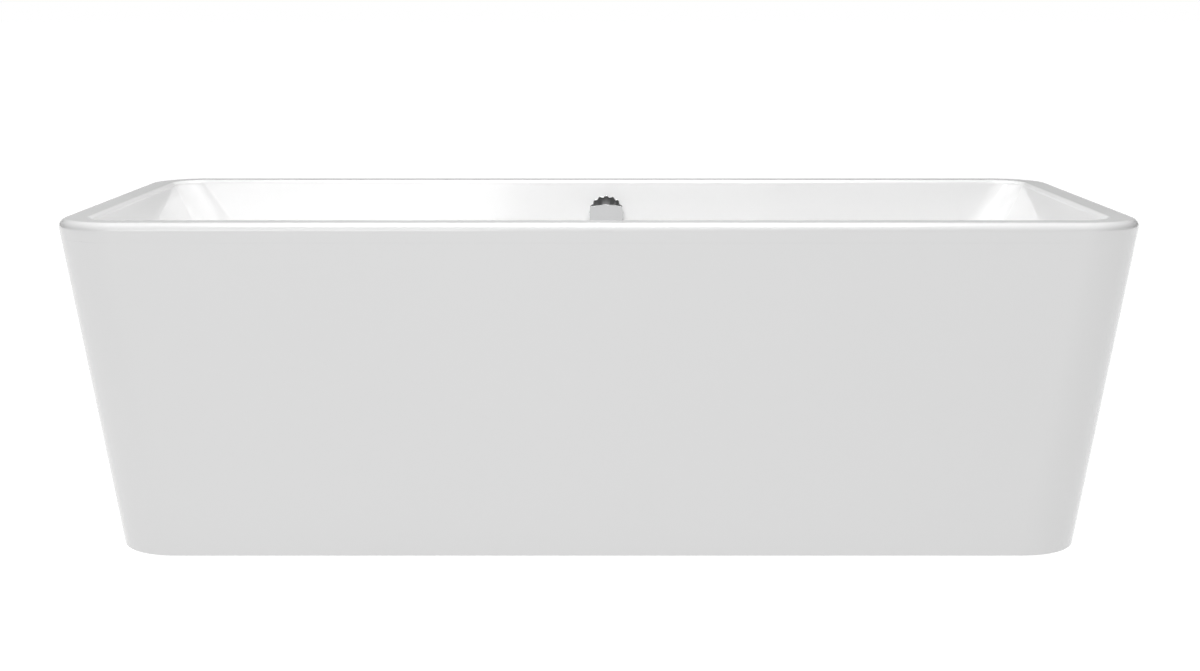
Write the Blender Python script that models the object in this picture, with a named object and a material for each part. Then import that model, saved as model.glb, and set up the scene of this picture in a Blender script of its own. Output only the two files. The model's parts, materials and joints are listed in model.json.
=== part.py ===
"""Freestanding double-wall bathtub: acrylic basin, tapered outer skirt, steel support frame on
five screw feet, and a knob-operated pop-up waste with overflow.

Frame: metres, +Z up, +X along the tub, -Y is the front. The origin is on the floor under the
middle of the tub. The overflow is in the back (+Y) wall.
"""

import math

import bmesh
import bpy
from mathutils import Euler, Matrix, Vector

# Overall sizes
LENGTH = 1.800  # rim, end to end
WIDTH = 0.800  # rim, front to back
HEIGHT = 0.580  # floor to the top of the rim
BASE_LENGTH = 1.660  # skirt at floor level
BASE_WIDTH = 0.686
CORNER_R = 0.106  # plan radius of the rim's outer corners
BASE_CORNER_R = 0.110

# Clearances
GAP = 0.0003  # between pieces that touch
BOND_GAP = 0.0006  # resin between the basin's flange and the skirt's lip
BED_GAP = 0.0010  # bedding between the basin's floor and its board
RUNNING_GAP = 0.0006  # between pieces that move on each other
HOLE_GAP = 0.0010  # collar or tail in its hole through the basin
SUNK = 0.0010  # how far one joined solid runs into the other
PAST = 0.0100  # how far a cutter runs past what it cuts

# Rim
RIM_WIDTH = 0.053  # outer face to the edge of the opening
RIM_EDGE_R = 0.014
RIM_INNER_R = 0.008
RIM_FLANGE = 0.032  # depth of the turned-down outer flange
SHELL_T = 0.006  # acrylic with its glass-fibre backing

# Basin
FLOOR_Z = 0.140  # inside floor at the waste
FLOOR_FALL = 0.005  # slope from the floor's edge down to the waste
FLOOR_LENGTH = 1.200  # where the sloping ends would meet the floor
FLOOR_WIDTH = 0.540
FLOOR_CORNER_R = 0.135
COVE_R = 0.080

# Skirt
SKIRT_T = 0.005
SKIRT_FLOOR_GAP = 0.004
SKIRT_LIP = 0.014  # height that tucks up behind the rim's flange

# Support board and welded frame
BOARD_T = 0.018
BOARD_INSET = 0.05  # share of the way from the floor's edge to the waste
TUBE = 0.030
TUBE_WALL = 0.0020
RAIL_Y = 0.145
END_CLEARANCE = 0.0010  # tube or cap to the skirt
END_CAP_T = 0.006
CAP_PLUG = 0.013  # depth of the end cap's plug in the tube
CROSSBAR_X = 0.480
CENTRE_BAR_X = 0.170
CENTRE_BAR_LENGTH = 0.400

# Screw feet, M12
ROD_R = 0.0060
ROD_LENGTH = 0.100
ROD_HOLE_GAP = 0.0008
NUT_ACROSS_FLATS = 0.019
LOCK_NUT_H = 0.007
WELD_NUT_H = 0.009
FOOT_Y = 0.270
PAD_R = 0.024
PAD_H = 0.012
PAD_NECK_R = 0.012
PAD_NECK_H = 0.012
PAD_EDGE = 0.002
PAD_SOCKET_FLOOR = 0.005  # plastic left under the rod's end
SCREW_R = 0.0030
SCREW_HEAD_R = 0.0060
SCREW_HEAD_H = 0.0035
SCREW_CHAMFER = 0.0022
SCREW_BITE = 0.012  # depth in the board
SCREW_X = 0.300

# Overflow, on the back wall
OVERFLOW_X = 0.0146
OVERFLOW_DROP = 0.066  # rim to the overflow's axis
KNOB_R = 0.0350
KNOB_FLUTES = 16
FLUTE_DEPTH = 0.0018
KNOB_GRIP_T = 0.0055  # fluted disc behind the face
KNOB_FACE_R = 0.0335
KNOB_FACE_T = 0.0065  # smooth disc in front of it
KNOB_STANDOFF = 0.0070  # wall to the back of the knob
KNOB_SOCKET = 0.0080  # depth of the spindle's socket
SCOOP_R = 0.135  # arch between the face and its thumb scoop
SCOOP_RISE = 0.0156  # top of that arch above the knob's axis
SPINDLE_R = 0.0040
SPINDLE_DEPTH = 0.0200  # wall to the spindle's inner end
CAM_R = 0.0130
CAM_T = 0.006
CAM_DEPTH = 0.0115  # wall to the cam's front
FACEPLATE_R = 0.0290
FACEPLATE_T = 0.0030
COLLAR_R = 0.0200
COLLAR_WALL = 0.0035
COLLAR_LENGTH = 0.022
HUB_R = 0.0078
SPOKE_W = 0.0030
SPOKE_T = 0.0050
SPOKE_COUNT = 3
GASKET_T = 0.003
BODY_FLANGE_R = 0.0300
BODY_FLANGE_T = 0.004
BODY_WALL = 0.0030
OVERFLOW_BODY_DEPTH = 0.034
STUB_BACK = 0.028  # wall to the axis of the overflow's outlet and cable boss

# Waste, in the middle of the floor
RECESS_GAP = 0.0030  # edge of the waste's recess to its flange
RECESS_DEPTH = 0.0045
BOARD_HOLE_GAP = 0.006  # board to the underside of the recess
FLANGE_R = 0.0400
FLANGE_T = 0.0025
TAIL_R = 0.0255
TAIL_WALL = 0.0030
TAIL_LENGTH = 0.034
FLANGE_GASKET_T = 0.0012
WASTE_FLANGE_R = 0.0420
WASTE_BODY_WALL = 0.0050
WASTE_BODY_FLOOR = 0.0015  # outlet's stub to the underside of the body
INLET_CLEARANCE = 0.0037  # back rail to the overflow pipe that passes under it
OUTLET_CLEARANCE = 0.0027  # front rail to the tailpipe that passes under it
PLUG_R = 0.0340
PLUG_RIM_T = 0.0025
PLUG_DOME = 0.0045
SEAL_R = 0.0300
SEAL_T = 0.0025
STEM_R = 0.0040
STEM_SOCKET = 0.0040
STEM_TIP_R = 0.0012
LEVER_ARM = 0.0140
LEVER_DROP = math.radians(25)  # arm below level at rest, and above it when open
LEVER_BELOW = 0.006  # outlet's axis to the lever's
LEVER_T = 0.005
LEVER_HUB_R = 0.0035
LEVER_TIP_R = 0.0030
LEVER_PIN_R = 0.0018
LUG_T = 0.003
LUG_W = 0.010

# Pipes and cable
PIPE_R = 0.0150
PIPE_WALL = 0.0030
PIPE_STUB = 0.052  # overflow axis to the end of its outlet stub
INLET_REACH = 0.070  # waste axis to the end of the inlet stub
PIPE_NUT_WALL = 0.0040
PIPE_NUT_LENGTH = 0.022
OUTLET_R = 0.0245
OUTLET_WALL = 0.0040
OUTLET_REACH = 0.065
OUTLET_NUT_WALL = 0.0050
OUTLET_NUT_LENGTH = 0.026
OUTLET_NUT_LIP = 0.004
OUTLET_WASHER_T = 0.003
TAILPIPE_R = 0.0200
TAILPIPE_WALL = 0.0020
TAILPIPE_LENGTH = 0.150
TAILPIPE_INSERT = 0.018
CABLE_R = 0.0026
CABLE_BOSS_R = 0.0065
CABLE_BOSS_REACH = 0.040  # overflow axis to the end of its cable boss
WASTE_CABLE_REACH = 0.050
WASTE_CABLE_BELOW = 0.010  # outlet's axis to the cable's boss
CABLE_NUT_WALL = 0.0030
CABLE_NUT_LENGTH = 0.012

# Facets
PIPE_STEP = 0.032
CABLE_STEP = 0.024
CORNER_STEPS = 8
ROUND = 28
SMALL_ROUND = 16
TINY_ROUND = 12
CABLE_ROUND = 8
EDGE_STEPS = 5
INNER_EDGE_STEPS = 3
COVE_STEPS = 6
SHARP_ANGLE = math.radians(35)

# name: colour, roughness, metallic
FINISHES = {
    "acrylic": ((0.86, 0.86, 0.86), 0.12, 0.0),
    "chrome": ((0.80, 0.81, 0.82), 0.06, 1.0),
    "zinc_steel": ((0.62, 0.63, 0.65), 0.35, 1.0),
    "board": ((0.55, 0.42, 0.28), 0.80, 0.0),
    "black_plastic": ((0.03, 0.03, 0.03), 0.45, 0.0),
    "white_plastic": ((0.80, 0.80, 0.78), 0.35, 0.0),
    "rubber": ((0.05, 0.05, 0.05), 0.70, 0.0),
}


def clear_scene():
    for old in list(bpy.data.objects):
        bpy.data.objects.remove(old, do_unlink=True)


def finish_of(name):
    found = bpy.data.materials.get(name)
    if found:
        return found
    colour, roughness, metallic = FINISHES[name]
    made = bpy.data.materials.new(name)
    made.use_nodes = True
    shader = made.node_tree.nodes["Principled BSDF"]
    shader.inputs["Base Color"].default_value = (*colour, 1.0)
    shader.inputs["Roughness"].default_value = roughness
    shader.inputs["Metallic"].default_value = metallic
    return made


def place(name, bm, finish=None, parent=None, at=(0, 0, 0), turn=(0, 0, 0)):
    """Makes an object of a bmesh, at a place in its parent's frame."""
    bmesh.ops.recalc_face_normals(bm, faces=bm.faces)
    mesh = bpy.data.meshes.new(name)
    bm.to_mesh(mesh)
    bm.free()
    obj = bpy.data.objects.new(name, mesh)
    bpy.context.scene.collection.objects.link(obj)
    obj.parent = parent
    obj.location = at
    obj.rotation_euler = turn
    if finish:
        mesh.materials.append(finish_of(finish))
        mesh.shade_smooth()
        mesh.set_sharp_from_angle(angle=SHARP_ANGLE)
    return obj


def empty(name, at, turn=(0, 0, 0)):
    made = bpy.data.objects.new(name, None)
    made.location = at
    made.rotation_euler = turn
    bpy.context.scene.collection.objects.link(made)
    return made


def helper(name, bm, parent=None, at=(0, 0, 0), turn=(0, 0, 0)):
    """A shape used only by a Boolean, left out of renders."""
    obj = place(name, bm, None, parent, at, turn)
    obj.hide_render = True
    obj.display_type = "WIRE"
    return obj


def combine(obj, other, operation):
    modifier = obj.modifiers.new(f"{operation.lower()}_{other.name}", "BOOLEAN")
    modifier.operation = operation
    modifier.object = other
    modifier.solver = "EXACT"


def cut(obj, *cutters):
    for cutter in cutters:
        combine(obj, cutter, "DIFFERENCE")


def join(obj, *others):
    for other in others:
        combine(obj, other, "UNION")


# Shapes


def rounded_ring(half_x, half_y, radius, z):
    """A rounded rectangle's points, anticlockwise, the same number for every size."""
    points = []
    for corner in range(4):
        sign_x = 1 if corner in (0, 3) else -1
        sign_y = 1 if corner in (0, 1) else -1
        centre = (sign_x * (half_x - radius), sign_y * (half_y - radius))
        for step in range(CORNER_STEPS + 1):
            angle = math.radians(90) * (corner + step / CORNER_STEPS)
            x = centre[0] + radius * math.cos(angle)
            y = centre[1] + radius * math.sin(angle)
            points.append(Vector((x, y, z)))
    return points


def round_ring(radius, z, count):
    """A circle's points, which match a rounded rectangle's of as many points."""
    turns = [math.tau * (step + 0.5) / count for step in range(count)]
    return [Vector((radius * math.cos(a), radius * math.sin(a), z)) for a in turns]


def loft(rings, cap_first=False, cap_last=False, closed=False):
    """Skins a list of rings that all have the same number of points."""
    bm = bmesh.new()
    loops = [[bm.verts.new(point) for point in ring] for ring in rings]
    following = loops[1:] + loops[:1] if closed else loops[1:]
    for lower, upper in zip(loops, following):
        count = len(lower)
        for i in range(count):
            j = (i + 1) % count
            bm.faces.new((lower[i], lower[j], upper[j], upper[i]))
    if cap_first:
        bm.faces.new(loops[0])
    if cap_last:
        bm.faces.new(loops[-1])
    return bm


def turned(profile, count):
    """Turns a profile of (radius, z) points round Z. One that starts and ends on the axis is
    solid, with flat ends, and any other is closed into a ring."""
    rings = [round_ring(radius, z, count) for radius, z in profile if radius]
    solid = profile[0][0] == 0
    return loft(rings, solid, solid, not solid)


def rod(radius, low, high, count=ROUND):
    return turned([(0, low), (radius, low), (radius, high), (0, high)], count)


def washer(inner, outer, low, high, count=ROUND):
    return turned([(inner, low), (outer, low), (outer, high), (inner, high)], count)


def turned_between(start, end, profile, count):
    """Turns a profile round the line from start to end, measured from start."""
    start = Vector(start)
    way = (Vector(end) - start).normalized()
    bm = turned(profile, count)
    bm.transform(Matrix.Translation(start) @ way.to_track_quat("Z", "Y").to_matrix().to_4x4())
    return bm


def rod_between(start, end, radius, count=SMALL_ROUND):
    length = (Vector(end) - Vector(start)).length
    profile = [(0, 0), (radius, 0), (radius, length), (0, length)]
    return turned_between(start, end, profile, count)


def beyond(start, end):
    """The end of a line, moved on so that a cutter goes right through."""
    way = (Vector(end) - Vector(start)).normalized()
    return Vector(end) + way * PAST


def slab(outline, low, high):
    """A plate with an outline of (x, y) points."""
    return loft([[Vector((x, y, z)) for x, y in outline] for z in (low, high)], True, True)


def link_outline(start, start_r, end, end_r, steps=6):
    """The outline of a link with a round at each end."""
    along = math.atan2(end[1] - start[1], end[0] - start[0])
    points = []
    for centre, radius, first in ((end, end_r, -90), (start, start_r, 90)):
        for step in range(steps + 1):
            angle = along + math.radians(first + 180 * step / steps)
            points.append(
                (centre[0] + radius * math.cos(angle), centre[1] + radius * math.sin(angle))
            )
    return points


def block(size, centre=(0, 0, 0)):
    bm = bmesh.new()
    bmesh.ops.create_cube(bm, size=1.0)
    bmesh.ops.scale(bm, vec=size, verts=bm.verts)
    bmesh.ops.translate(bm, vec=centre, verts=bm.verts)
    return bm


def square_tube(length):
    """A square tube along X, open at both ends."""
    bm = bmesh.new()
    loops = []
    for x, half in (
        (-length / 2, TUBE / 2),
        (length / 2, TUBE / 2),
        (length / 2, TUBE / 2 - TUBE_WALL),
        (-length / 2, TUBE / 2 - TUBE_WALL),
    ):
        corners = ((half, half), (-half, half), (-half, -half), (half, -half))
        loops.append([bm.verts.new((x, y, z)) for y, z in corners])
    for first, second in zip(loops, loops[1:] + loops[:1]):
        for i in range(4):
            j = (i + 1) % 4
            bm.faces.new((first[i], first[j], second[j], second[i]))
    return bm


def smooth_path(points, spacing):
    """Points along a Catmull-Rom curve through the route, about evenly spaced."""
    route = [Vector(p) for p in points]
    route = [2 * route[0] - route[1], *route, 2 * route[-1] - route[-2]]
    found = []
    for a, b, c, d in zip(route, route[1:], route[2:], route[3:]):
        steps = max(1, round((c - b).length / spacing))
        for step in range(steps):
            t = step / steps
            square = (2 * a - 5 * b + 4 * c - d) * t**2
            cube = (3 * b - a - 3 * c + d) * t**3
            found.append((2 * b + (c - a) * t + square + cube) / 2)
    found.append(route[-2])
    return found


def swept(path, outer, inner, count, start_way, end_way):
    """A tube, or a solid cord where inner is 0, along a path that leaves and arrives straight."""
    rings_out, rings_in = [], []
    side = Vector(start_way).orthogonal()
    for k, point in enumerate(path):
        if k == 0:
            way = Vector(start_way)
        elif k == len(path) - 1:
            way = Vector(end_way)
        else:
            way = path[k + 1] - path[k - 1]
        way.normalize()
        side = (side - way * side.dot(way)).normalized()
        up = way.cross(side)
        turns = [math.tau * i / count for i in range(count)]
        spokes = [side * math.cos(a) + up * math.sin(a) for a in turns]
        rings_out.append([point + spoke * outer for spoke in spokes])
        rings_in.append([point + spoke * inner for spoke in spokes])
    if not inner:
        return loft(rings_out, True, True)
    return loft([*rings_out, *reversed(rings_in)], closed=True)


# Outer envelope and basin surface

EDGE_Z = HEIGHT - RIM_EDGE_R  # the widest level
FLOOR_EDGE_Z = FLOOR_Z + FLOOR_FALL
FLANGE_Z = HEIGHT - RIM_FLANGE
INNER_EDGE_Z = HEIGHT - RIM_INNER_R
RECESS_R = FLANGE_R + RECESS_GAP
RECESS_Z = FLOOR_Z - RECESS_DEPTH
WASTE_HOLE_R = TAIL_R + HOLE_GAP
OVERFLOW_HOLE_R = COLLAR_R + HOLE_GAP
SIDE_RUN = WIDTH / 2 - RIM_WIDTH - FLOOR_WIDTH / 2
SIDE_LEAN = math.atan(SIDE_RUN / (INNER_EDGE_Z - FLOOR_EDGE_Z))
END_LEAN = math.atan((LENGTH - BASE_LENGTH) / 2 / EDGE_Z)
FACE_LEAN = math.atan((WIDTH - BASE_WIDTH) / 2 / EDGE_Z)


def between(a, b, share):
    return a + (b - a) * share


def envelope(z, inset=0.0):
    """Half length, half width and corner radius of the outer face at a height."""
    drop = (EDGE_Z - z) / EDGE_Z
    return (
        between(LENGTH, BASE_LENGTH, drop) / 2 - inset,
        between(WIDTH, BASE_WIDTH, drop) / 2 - inset,
        between(CORNER_R, BASE_CORNER_R, drop) - inset,
    )


def cove_half(z, top_half, floor_half):
    """Half size of the opening at a height, rounded into the floor by the cove."""
    run = (top_half - floor_half) / (INNER_EDGE_Z - FLOOR_EDGE_Z)
    lean = math.atan(run)
    arc = math.radians(90) - lean
    start = floor_half - COVE_R * math.tan(arc / 2)
    rise = z - FLOOR_EDGE_Z
    if rise < COVE_R * (1 - math.cos(arc)):
        return start + math.sqrt(max(0, COVE_R**2 - (COVE_R - rise) ** 2))
    return floor_half + run * rise


def basin_inside(z):
    top_x = LENGTH / 2 - RIM_WIDTH
    top_y = WIDTH / 2 - RIM_WIDTH
    half_x = cove_half(z, top_x, FLOOR_LENGTH / 2)
    half_y = cove_half(z, top_y, FLOOR_WIDTH / 2)
    drop = (INNER_EDGE_Z - z) / (INNER_EDGE_Z - FLOOR_EDGE_Z)
    straight_y = between(top_y, FLOOR_WIDTH / 2, drop)
    radius = between(CORNER_R - RIM_WIDTH, FLOOR_CORNER_R, drop) - (straight_y - half_y)
    return half_x, half_y, radius


def floor_ring(share, drop=0.0):
    """A ring of the floor, from its edge (share 0) to the waste's recess (share 1)."""
    edge = rounded_ring(*basin_inside(FLOOR_EDGE_Z), FLOOR_EDGE_Z)
    recess = round_ring(RECESS_R, FLOOR_Z, len(edge))
    down = Vector((0, 0, drop))
    return [a + (b - a) * share - down for a, b in zip(edge, recess)]


def quarter(steps, first=0):
    return [math.radians(90) * step / steps for step in range(first, steps + 1)]


def basin_rings():
    """The basin's visible face, from the flange over the rim and down to the waste hole."""
    rings = [rounded_ring(*envelope(FLANGE_Z), FLANGE_Z)]
    for angle in quarter(EDGE_STEPS):
        inset = RIM_EDGE_R * (1 - math.cos(angle))
        z = EDGE_Z + RIM_EDGE_R * math.sin(angle)
        rings.append(rounded_ring(*envelope(EDGE_Z, inset), z))
    for angle in quarter(INNER_EDGE_STEPS):
        inset = RIM_WIDTH - RIM_INNER_R * (1 - math.sin(angle))
        z = INNER_EDGE_Z + RIM_INNER_R * math.cos(angle)
        rings.append(rounded_ring(*envelope(EDGE_Z, inset), z))
    for angle in reversed(quarter(COVE_STEPS)):
        z = FLOOR_EDGE_Z + COVE_R * (1 - math.cos(angle))
        rings.append(rounded_ring(*basin_inside(z), z))
    count = len(rings[0])
    rings.append(floor_ring(1))
    rings.append(round_ring(RECESS_R - RECESS_DEPTH / 4, RECESS_Z, count))
    rings.append(round_ring(WASTE_HOLE_R, RECESS_Z, count))
    return rings


def thicken(obj, thickness):
    modifier = obj.modifiers.new("thickness", "SOLIDIFY")
    modifier.thickness = thickness
    modifier.offset = -1
    modifier.use_even_offset = True
    modifier.use_rim = True


def skin(name, rings, thickness, finish):
    """A shell whose visible face is lofted and whose thickness lies behind it."""
    bm = loft(rings)
    obj = place(name, bm, finish)
    top = max(obj.data.polygons, key=lambda face: face.center.x)
    if top.normal.x < 0:
        obj.data.flip_normals()
    thicken(obj, thickness)
    return obj


def make_basin(overflow_frame):
    basin = skin("basin_shell", basin_rings(), SHELL_T, "acrylic")
    hole = rod(OVERFLOW_HOLE_R, -SHELL_T - PAST, PAST)
    cut(basin, helper("overflow_hole", hole, overflow_frame))


def make_skirt():
    lip_inset = SHELL_T + BOND_GAP
    flange_dip = SHELL_T * math.sin(max(0, -END_LEAN, -FACE_LEAN))  # of its hidden edge
    ledge = FLANGE_Z - GAP - flange_dip
    lip_top = ledge + SKIRT_LIP
    rings = [
        rounded_ring(*envelope(SKIRT_FLOOR_GAP), SKIRT_FLOOR_GAP),
        rounded_ring(*envelope(ledge), ledge),
        rounded_ring(*envelope(ledge, lip_inset), ledge),
        rounded_ring(*envelope(lip_top, lip_inset), lip_top),
    ]
    skin("outer_skirt", rings, SKIRT_T, "acrylic")


# Support board, frame and feet

BOARD_BOTTOM = FLOOR_Z - SHELL_T - BED_GAP - BOARD_T
RAIL_Z = BOARD_BOTTOM - GAP - TUBE / 2
RAIL_BOTTOM = RAIL_Z - TUBE / 2
BAR_Z = RAIL_Z - TUBE - GAP
BAR_TOP = BAR_Z + TUBE / 2
BAR_BOTTOM = BAR_Z - TUBE / 2
BOARD_HOLE_R = RECESS_R + SHELL_T + BOARD_HOLE_GAP


def skirt_inside(z):
    """Half length and half width inside the skirt at a height."""
    half_x, half_y, _ = envelope(z)
    return half_x - SKIRT_T / math.cos(END_LEAN), half_y - SKIRT_T / math.cos(FACE_LEAN)


def tube_reach(axis, low, high):
    """Half the room for a tube between the skirt's sides, whichever way they lean."""
    return min(skirt_inside(low)[axis], skirt_inside(high)[axis]) - END_CLEARANCE


RAIL_END = tube_reach(0, RAIL_BOTTOM, RAIL_BOTTOM + TUBE)
BAR_END = tube_reach(1, BAR_BOTTOM, BAR_TOP)
FEET = {
    "front_left": (-CROSSBAR_X, -FOOT_Y),
    "front_right": (CROSSBAR_X, -FOOT_Y),
    "back_left": (-CROSSBAR_X, FOOT_Y),
    "back_right": (CROSSBAR_X, FOOT_Y),
    "centre": (CENTRE_BAR_X, 0.0),
}


def make_board():
    drop = SHELL_T + BED_GAP
    outline = floor_ring(BOARD_INSET, drop)
    under = [Vector((p.x, p.y, BOARD_BOTTOM)) for p in outline]
    solid = loft([under, outline, floor_ring(1, drop)], True, True)
    board = place("floor_board", solid, "board")
    cut(board, helper("board_hole", rod(BOARD_HOLE_R, 0, FLOOR_Z + PAST)))
    for x, y in screw_places():
        pilot = rod(SCREW_R + GAP, 0, BOARD_BOTTOM + SCREW_BITE + GAP, TINY_ROUND)
        cut(board, helper("pilot_hole", pilot, None, (x, y, 0)))


def screw_places():
    return [(x, y) for x in (-SCREW_X, SCREW_X) for y in (-RAIL_Y, RAIL_Y)]


def make_board_screws():
    head_top = RAIL_BOTTOM - GAP
    for number, (x, y) in enumerate(screw_places(), 1):
        profile = [
            (0, head_top - SCREW_HEAD_H),
            (SCREW_HEAD_R - SCREW_CHAMFER, head_top - SCREW_HEAD_H),
            (SCREW_HEAD_R, head_top - SCREW_HEAD_H + SCREW_CHAMFER),
            (SCREW_HEAD_R, head_top),
            (SCREW_R, head_top),
            (SCREW_R, BOARD_BOTTOM + SCREW_BITE - SCREW_R),
            (0, BOARD_BOTTOM + SCREW_BITE),
        ]
        screw = turned(profile, TINY_ROUND)
        place(f"board_screw_{number}", screw, "zinc_steel", None, (x, y, 0))


def make_rails():
    for name, y in (("frame_rail_front", -RAIL_Y), ("frame_rail_back", RAIL_Y)):
        rail = place(name, square_tube(2 * RAIL_END), "zinc_steel", None, (0, y, RAIL_Z))
        for x, hole_y in screw_places():
            if hole_y == y:
                hole = rod(SCREW_R + GAP, -TUBE, TUBE, TINY_ROUND)
                cut(rail, helper("rail_hole", hole, None, (x, y, RAIL_Z)))


def make_crossbars():
    across = (0, 0, math.radians(90))
    long_bar = 2 * (BAR_END - END_CAP_T - GAP)
    bars = {
        "left": (-CROSSBAR_X, long_bar),
        "right": (CROSSBAR_X, long_bar),
        "centre": (CENTRE_BAR_X, CENTRE_BAR_LENGTH),
    }
    for side, (x, length) in bars.items():
        name = f"frame_crossbar_{side}"
        bar = place(name, square_tube(length), "zinc_steel", None, (x, 0, BAR_Z), across)
        for foot, (foot_x, foot_y) in FEET.items():
            if foot_x == x:
                hole = rod(ROD_R + ROD_HOLE_GAP, -TUBE, TUBE, SMALL_ROUND)
                cut(bar, helper(f"rod_hole_{foot}", hole, None, (x, foot_y, BAR_Z)))


def make_end_caps():
    """Plastic plugs that close the long crossbars and bear on the inside of the skirt."""
    plug_side = TUBE - 2 * TUBE_WALL - 2 * GAP
    for foot, (x, y) in FEET.items():
        if foot == "centre":
            continue
        way = math.copysign(1, y)
        cap = place(
            f"crossbar_end_cap_{foot}",
            block((TUBE, END_CAP_T, TUBE), (0, END_CAP_T / 2, 0)),
            "black_plastic",
            None,
            (x, way * (BAR_END - END_CAP_T), BAR_Z),
            (0, 0, 0 if way > 0 else math.radians(180)),
        )
        plug_size = (plug_side, CAP_PLUG + SUNK, plug_side)
        plug = block(plug_size, (0, (SUNK - CAP_PLUG) / 2, 0))
        join(cap, helper(f"cap_plug_{foot}", plug, cap))


def hexagon(height):
    radius = NUT_ACROSS_FLATS / 2 / math.cos(math.radians(30))
    bm = bmesh.new()
    bmesh.ops.create_cone(
        bm, cap_ends=True, segments=6, radius1=radius, radius2=radius, depth=height
    )
    bmesh.ops.translate(bm, vec=(0, 0, height / 2), verts=bm.verts)
    return bm


def make_nut(name, height, axis, z):
    nut = place(name, hexagon(height), "zinc_steel", axis, (0, 0, z))
    thread = rod(ROD_R + RUNNING_GAP, -height, 2 * height, SMALL_ROUND)
    cut(nut, helper(f"{name}_thread", thread, axis, (0, 0, z)))


def make_feet():
    low = PAD_SOCKET_FLOOR + GAP
    top = PAD_H + PAD_NECK_H
    bore = ROD_R + RUNNING_GAP
    pad_profile = [
        (0, 0),
        (PAD_R - PAD_EDGE, 0),
        (PAD_R, PAD_EDGE),
        (PAD_R, PAD_H / 2),
        (PAD_NECK_R + PAD_EDGE, PAD_H),
        (PAD_NECK_R, top),
        (bore, top),
        (bore, PAD_SOCKET_FLOOR),
        (0, PAD_SOCKET_FLOOR),
    ]
    for foot, (x, y) in FEET.items():
        axis = empty(f"foot_axis_{foot}", (x, y, 0))
        make_nut(f"foot_lock_nut_{foot}", LOCK_NUT_H, axis, BAR_BOTTOM - GAP - LOCK_NUT_H)
        make_nut(f"foot_weld_nut_{foot}", WELD_NUT_H, axis, BAR_TOP + GAP)
        thread = rod(ROD_R, low, low + ROD_LENGTH, SMALL_ROUND)
        place(f"foot_rod_{foot}", thread, "zinc_steel", axis)
        pad = turned(pad_profile, SMALL_ROUND)
        place(f"foot_pad_{foot}", pad, "black_plastic", axis)


# Waste: a flange above the floor screws into a hollow body below it

FLANGE_LOW = RECESS_Z + GAP + FLANGE_GASKET_T + GAP
FLANGE_TOP = FLANGE_LOW + FLANGE_T
BODY_TOP = RECESS_Z - SHELL_T - GAP - GASKET_T - GAP
BODY_BORE_R = TAIL_R + RUNNING_GAP
BODY_R = BODY_BORE_R + WASTE_BODY_WALL
INLET_Z = RAIL_BOTTOM - INLET_CLEARANCE - PIPE_R
OUTLET_Z = RAIL_BOTTOM - OUTLET_CLEARANCE - TAILPIPE_R
BODY_BOTTOM = OUTLET_Z - OUTLET_R - WASTE_BODY_FLOOR
CABLE_Z = OUTLET_Z - WASTE_CABLE_BELOW
LEVER_Z = OUTLET_Z - LEVER_BELOW
LEVER_X = -LEVER_ARM * math.cos(LEVER_DROP)
LUG_Y = LEVER_T / 2 + RUNNING_GAP + LUG_T / 2
SEAL_LOW = FLANGE_TOP + GAP
CAP_LOW = SEAL_LOW + SEAL_T + GAP
TIP_Z = LEVER_Z - LEVER_ARM * math.sin(LEVER_DROP)
LEVER_EDGE = LEVER_TIP_R * math.cos(LEVER_DROP) + math.tan(LEVER_DROP) * (
    LEVER_TIP_R * math.sin(LEVER_DROP) + STEM_TIP_R
)
STEM_LOW = TIP_Z + LEVER_EDGE + RUNNING_GAP
TAIL_BORE_R = TAIL_R - TAIL_WALL


def spokes(hub_r, bore_r, reach, low, high, parent=None):
    """Spokes and a hub across a round throat, with a bore through the hub."""
    hub = helper("spoke_hub", rod(hub_r, low, high, SMALL_ROUND), parent)
    bore = helper("spoke_bore", rod(bore_r, low - GAP, high + GAP, SMALL_ROUND), parent)
    for step in range(SPOKE_COUNT):
        spoke = block((reach, SPOKE_W, high - low), (reach / 2, 0, (low + high) / 2))
        turn = (0, 0, math.tau * (1 / 4 + step / SPOKE_COUNT))
        join(hub, helper("spoke", spoke, parent, (0, 0, 0), turn))
    cut(hub, bore)
    return hub


def make_waste_flange():
    profile = [
        (TAIL_BORE_R, FLANGE_TOP),
        (TAIL_BORE_R, FLANGE_LOW - TAIL_LENGTH),
        (TAIL_R, FLANGE_LOW - TAIL_LENGTH),
        (TAIL_R, FLANGE_LOW),
        (FLANGE_R, FLANGE_LOW),
        (FLANGE_R, FLANGE_LOW + FLANGE_T / 2),
        (FLANGE_R - FLANGE_T / 2, FLANGE_TOP),
    ]
    flange = place("waste_flange", turned(profile, ROUND), "chrome")
    reach = TAIL_BORE_R + TAIL_WALL / 2
    top = FLANGE_LOW - SPOKE_T
    join(flange, spokes(HUB_R, STEM_R + RUNNING_GAP, reach, top - SPOKE_T, top))


def make_waste_gaskets():
    low = RECESS_Z + GAP
    seat = washer(WASTE_HOLE_R, FLANGE_R - GASKET_T, low, low + FLANGE_GASKET_T)
    place("waste_gasket_top", seat, "rubber")
    low = BODY_TOP + GAP
    seat = washer(WASTE_HOLE_R, WASTE_FLANGE_R - GASKET_T, low, low + GASKET_T)
    place("waste_gasket_bottom", seat, "rubber")


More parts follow.
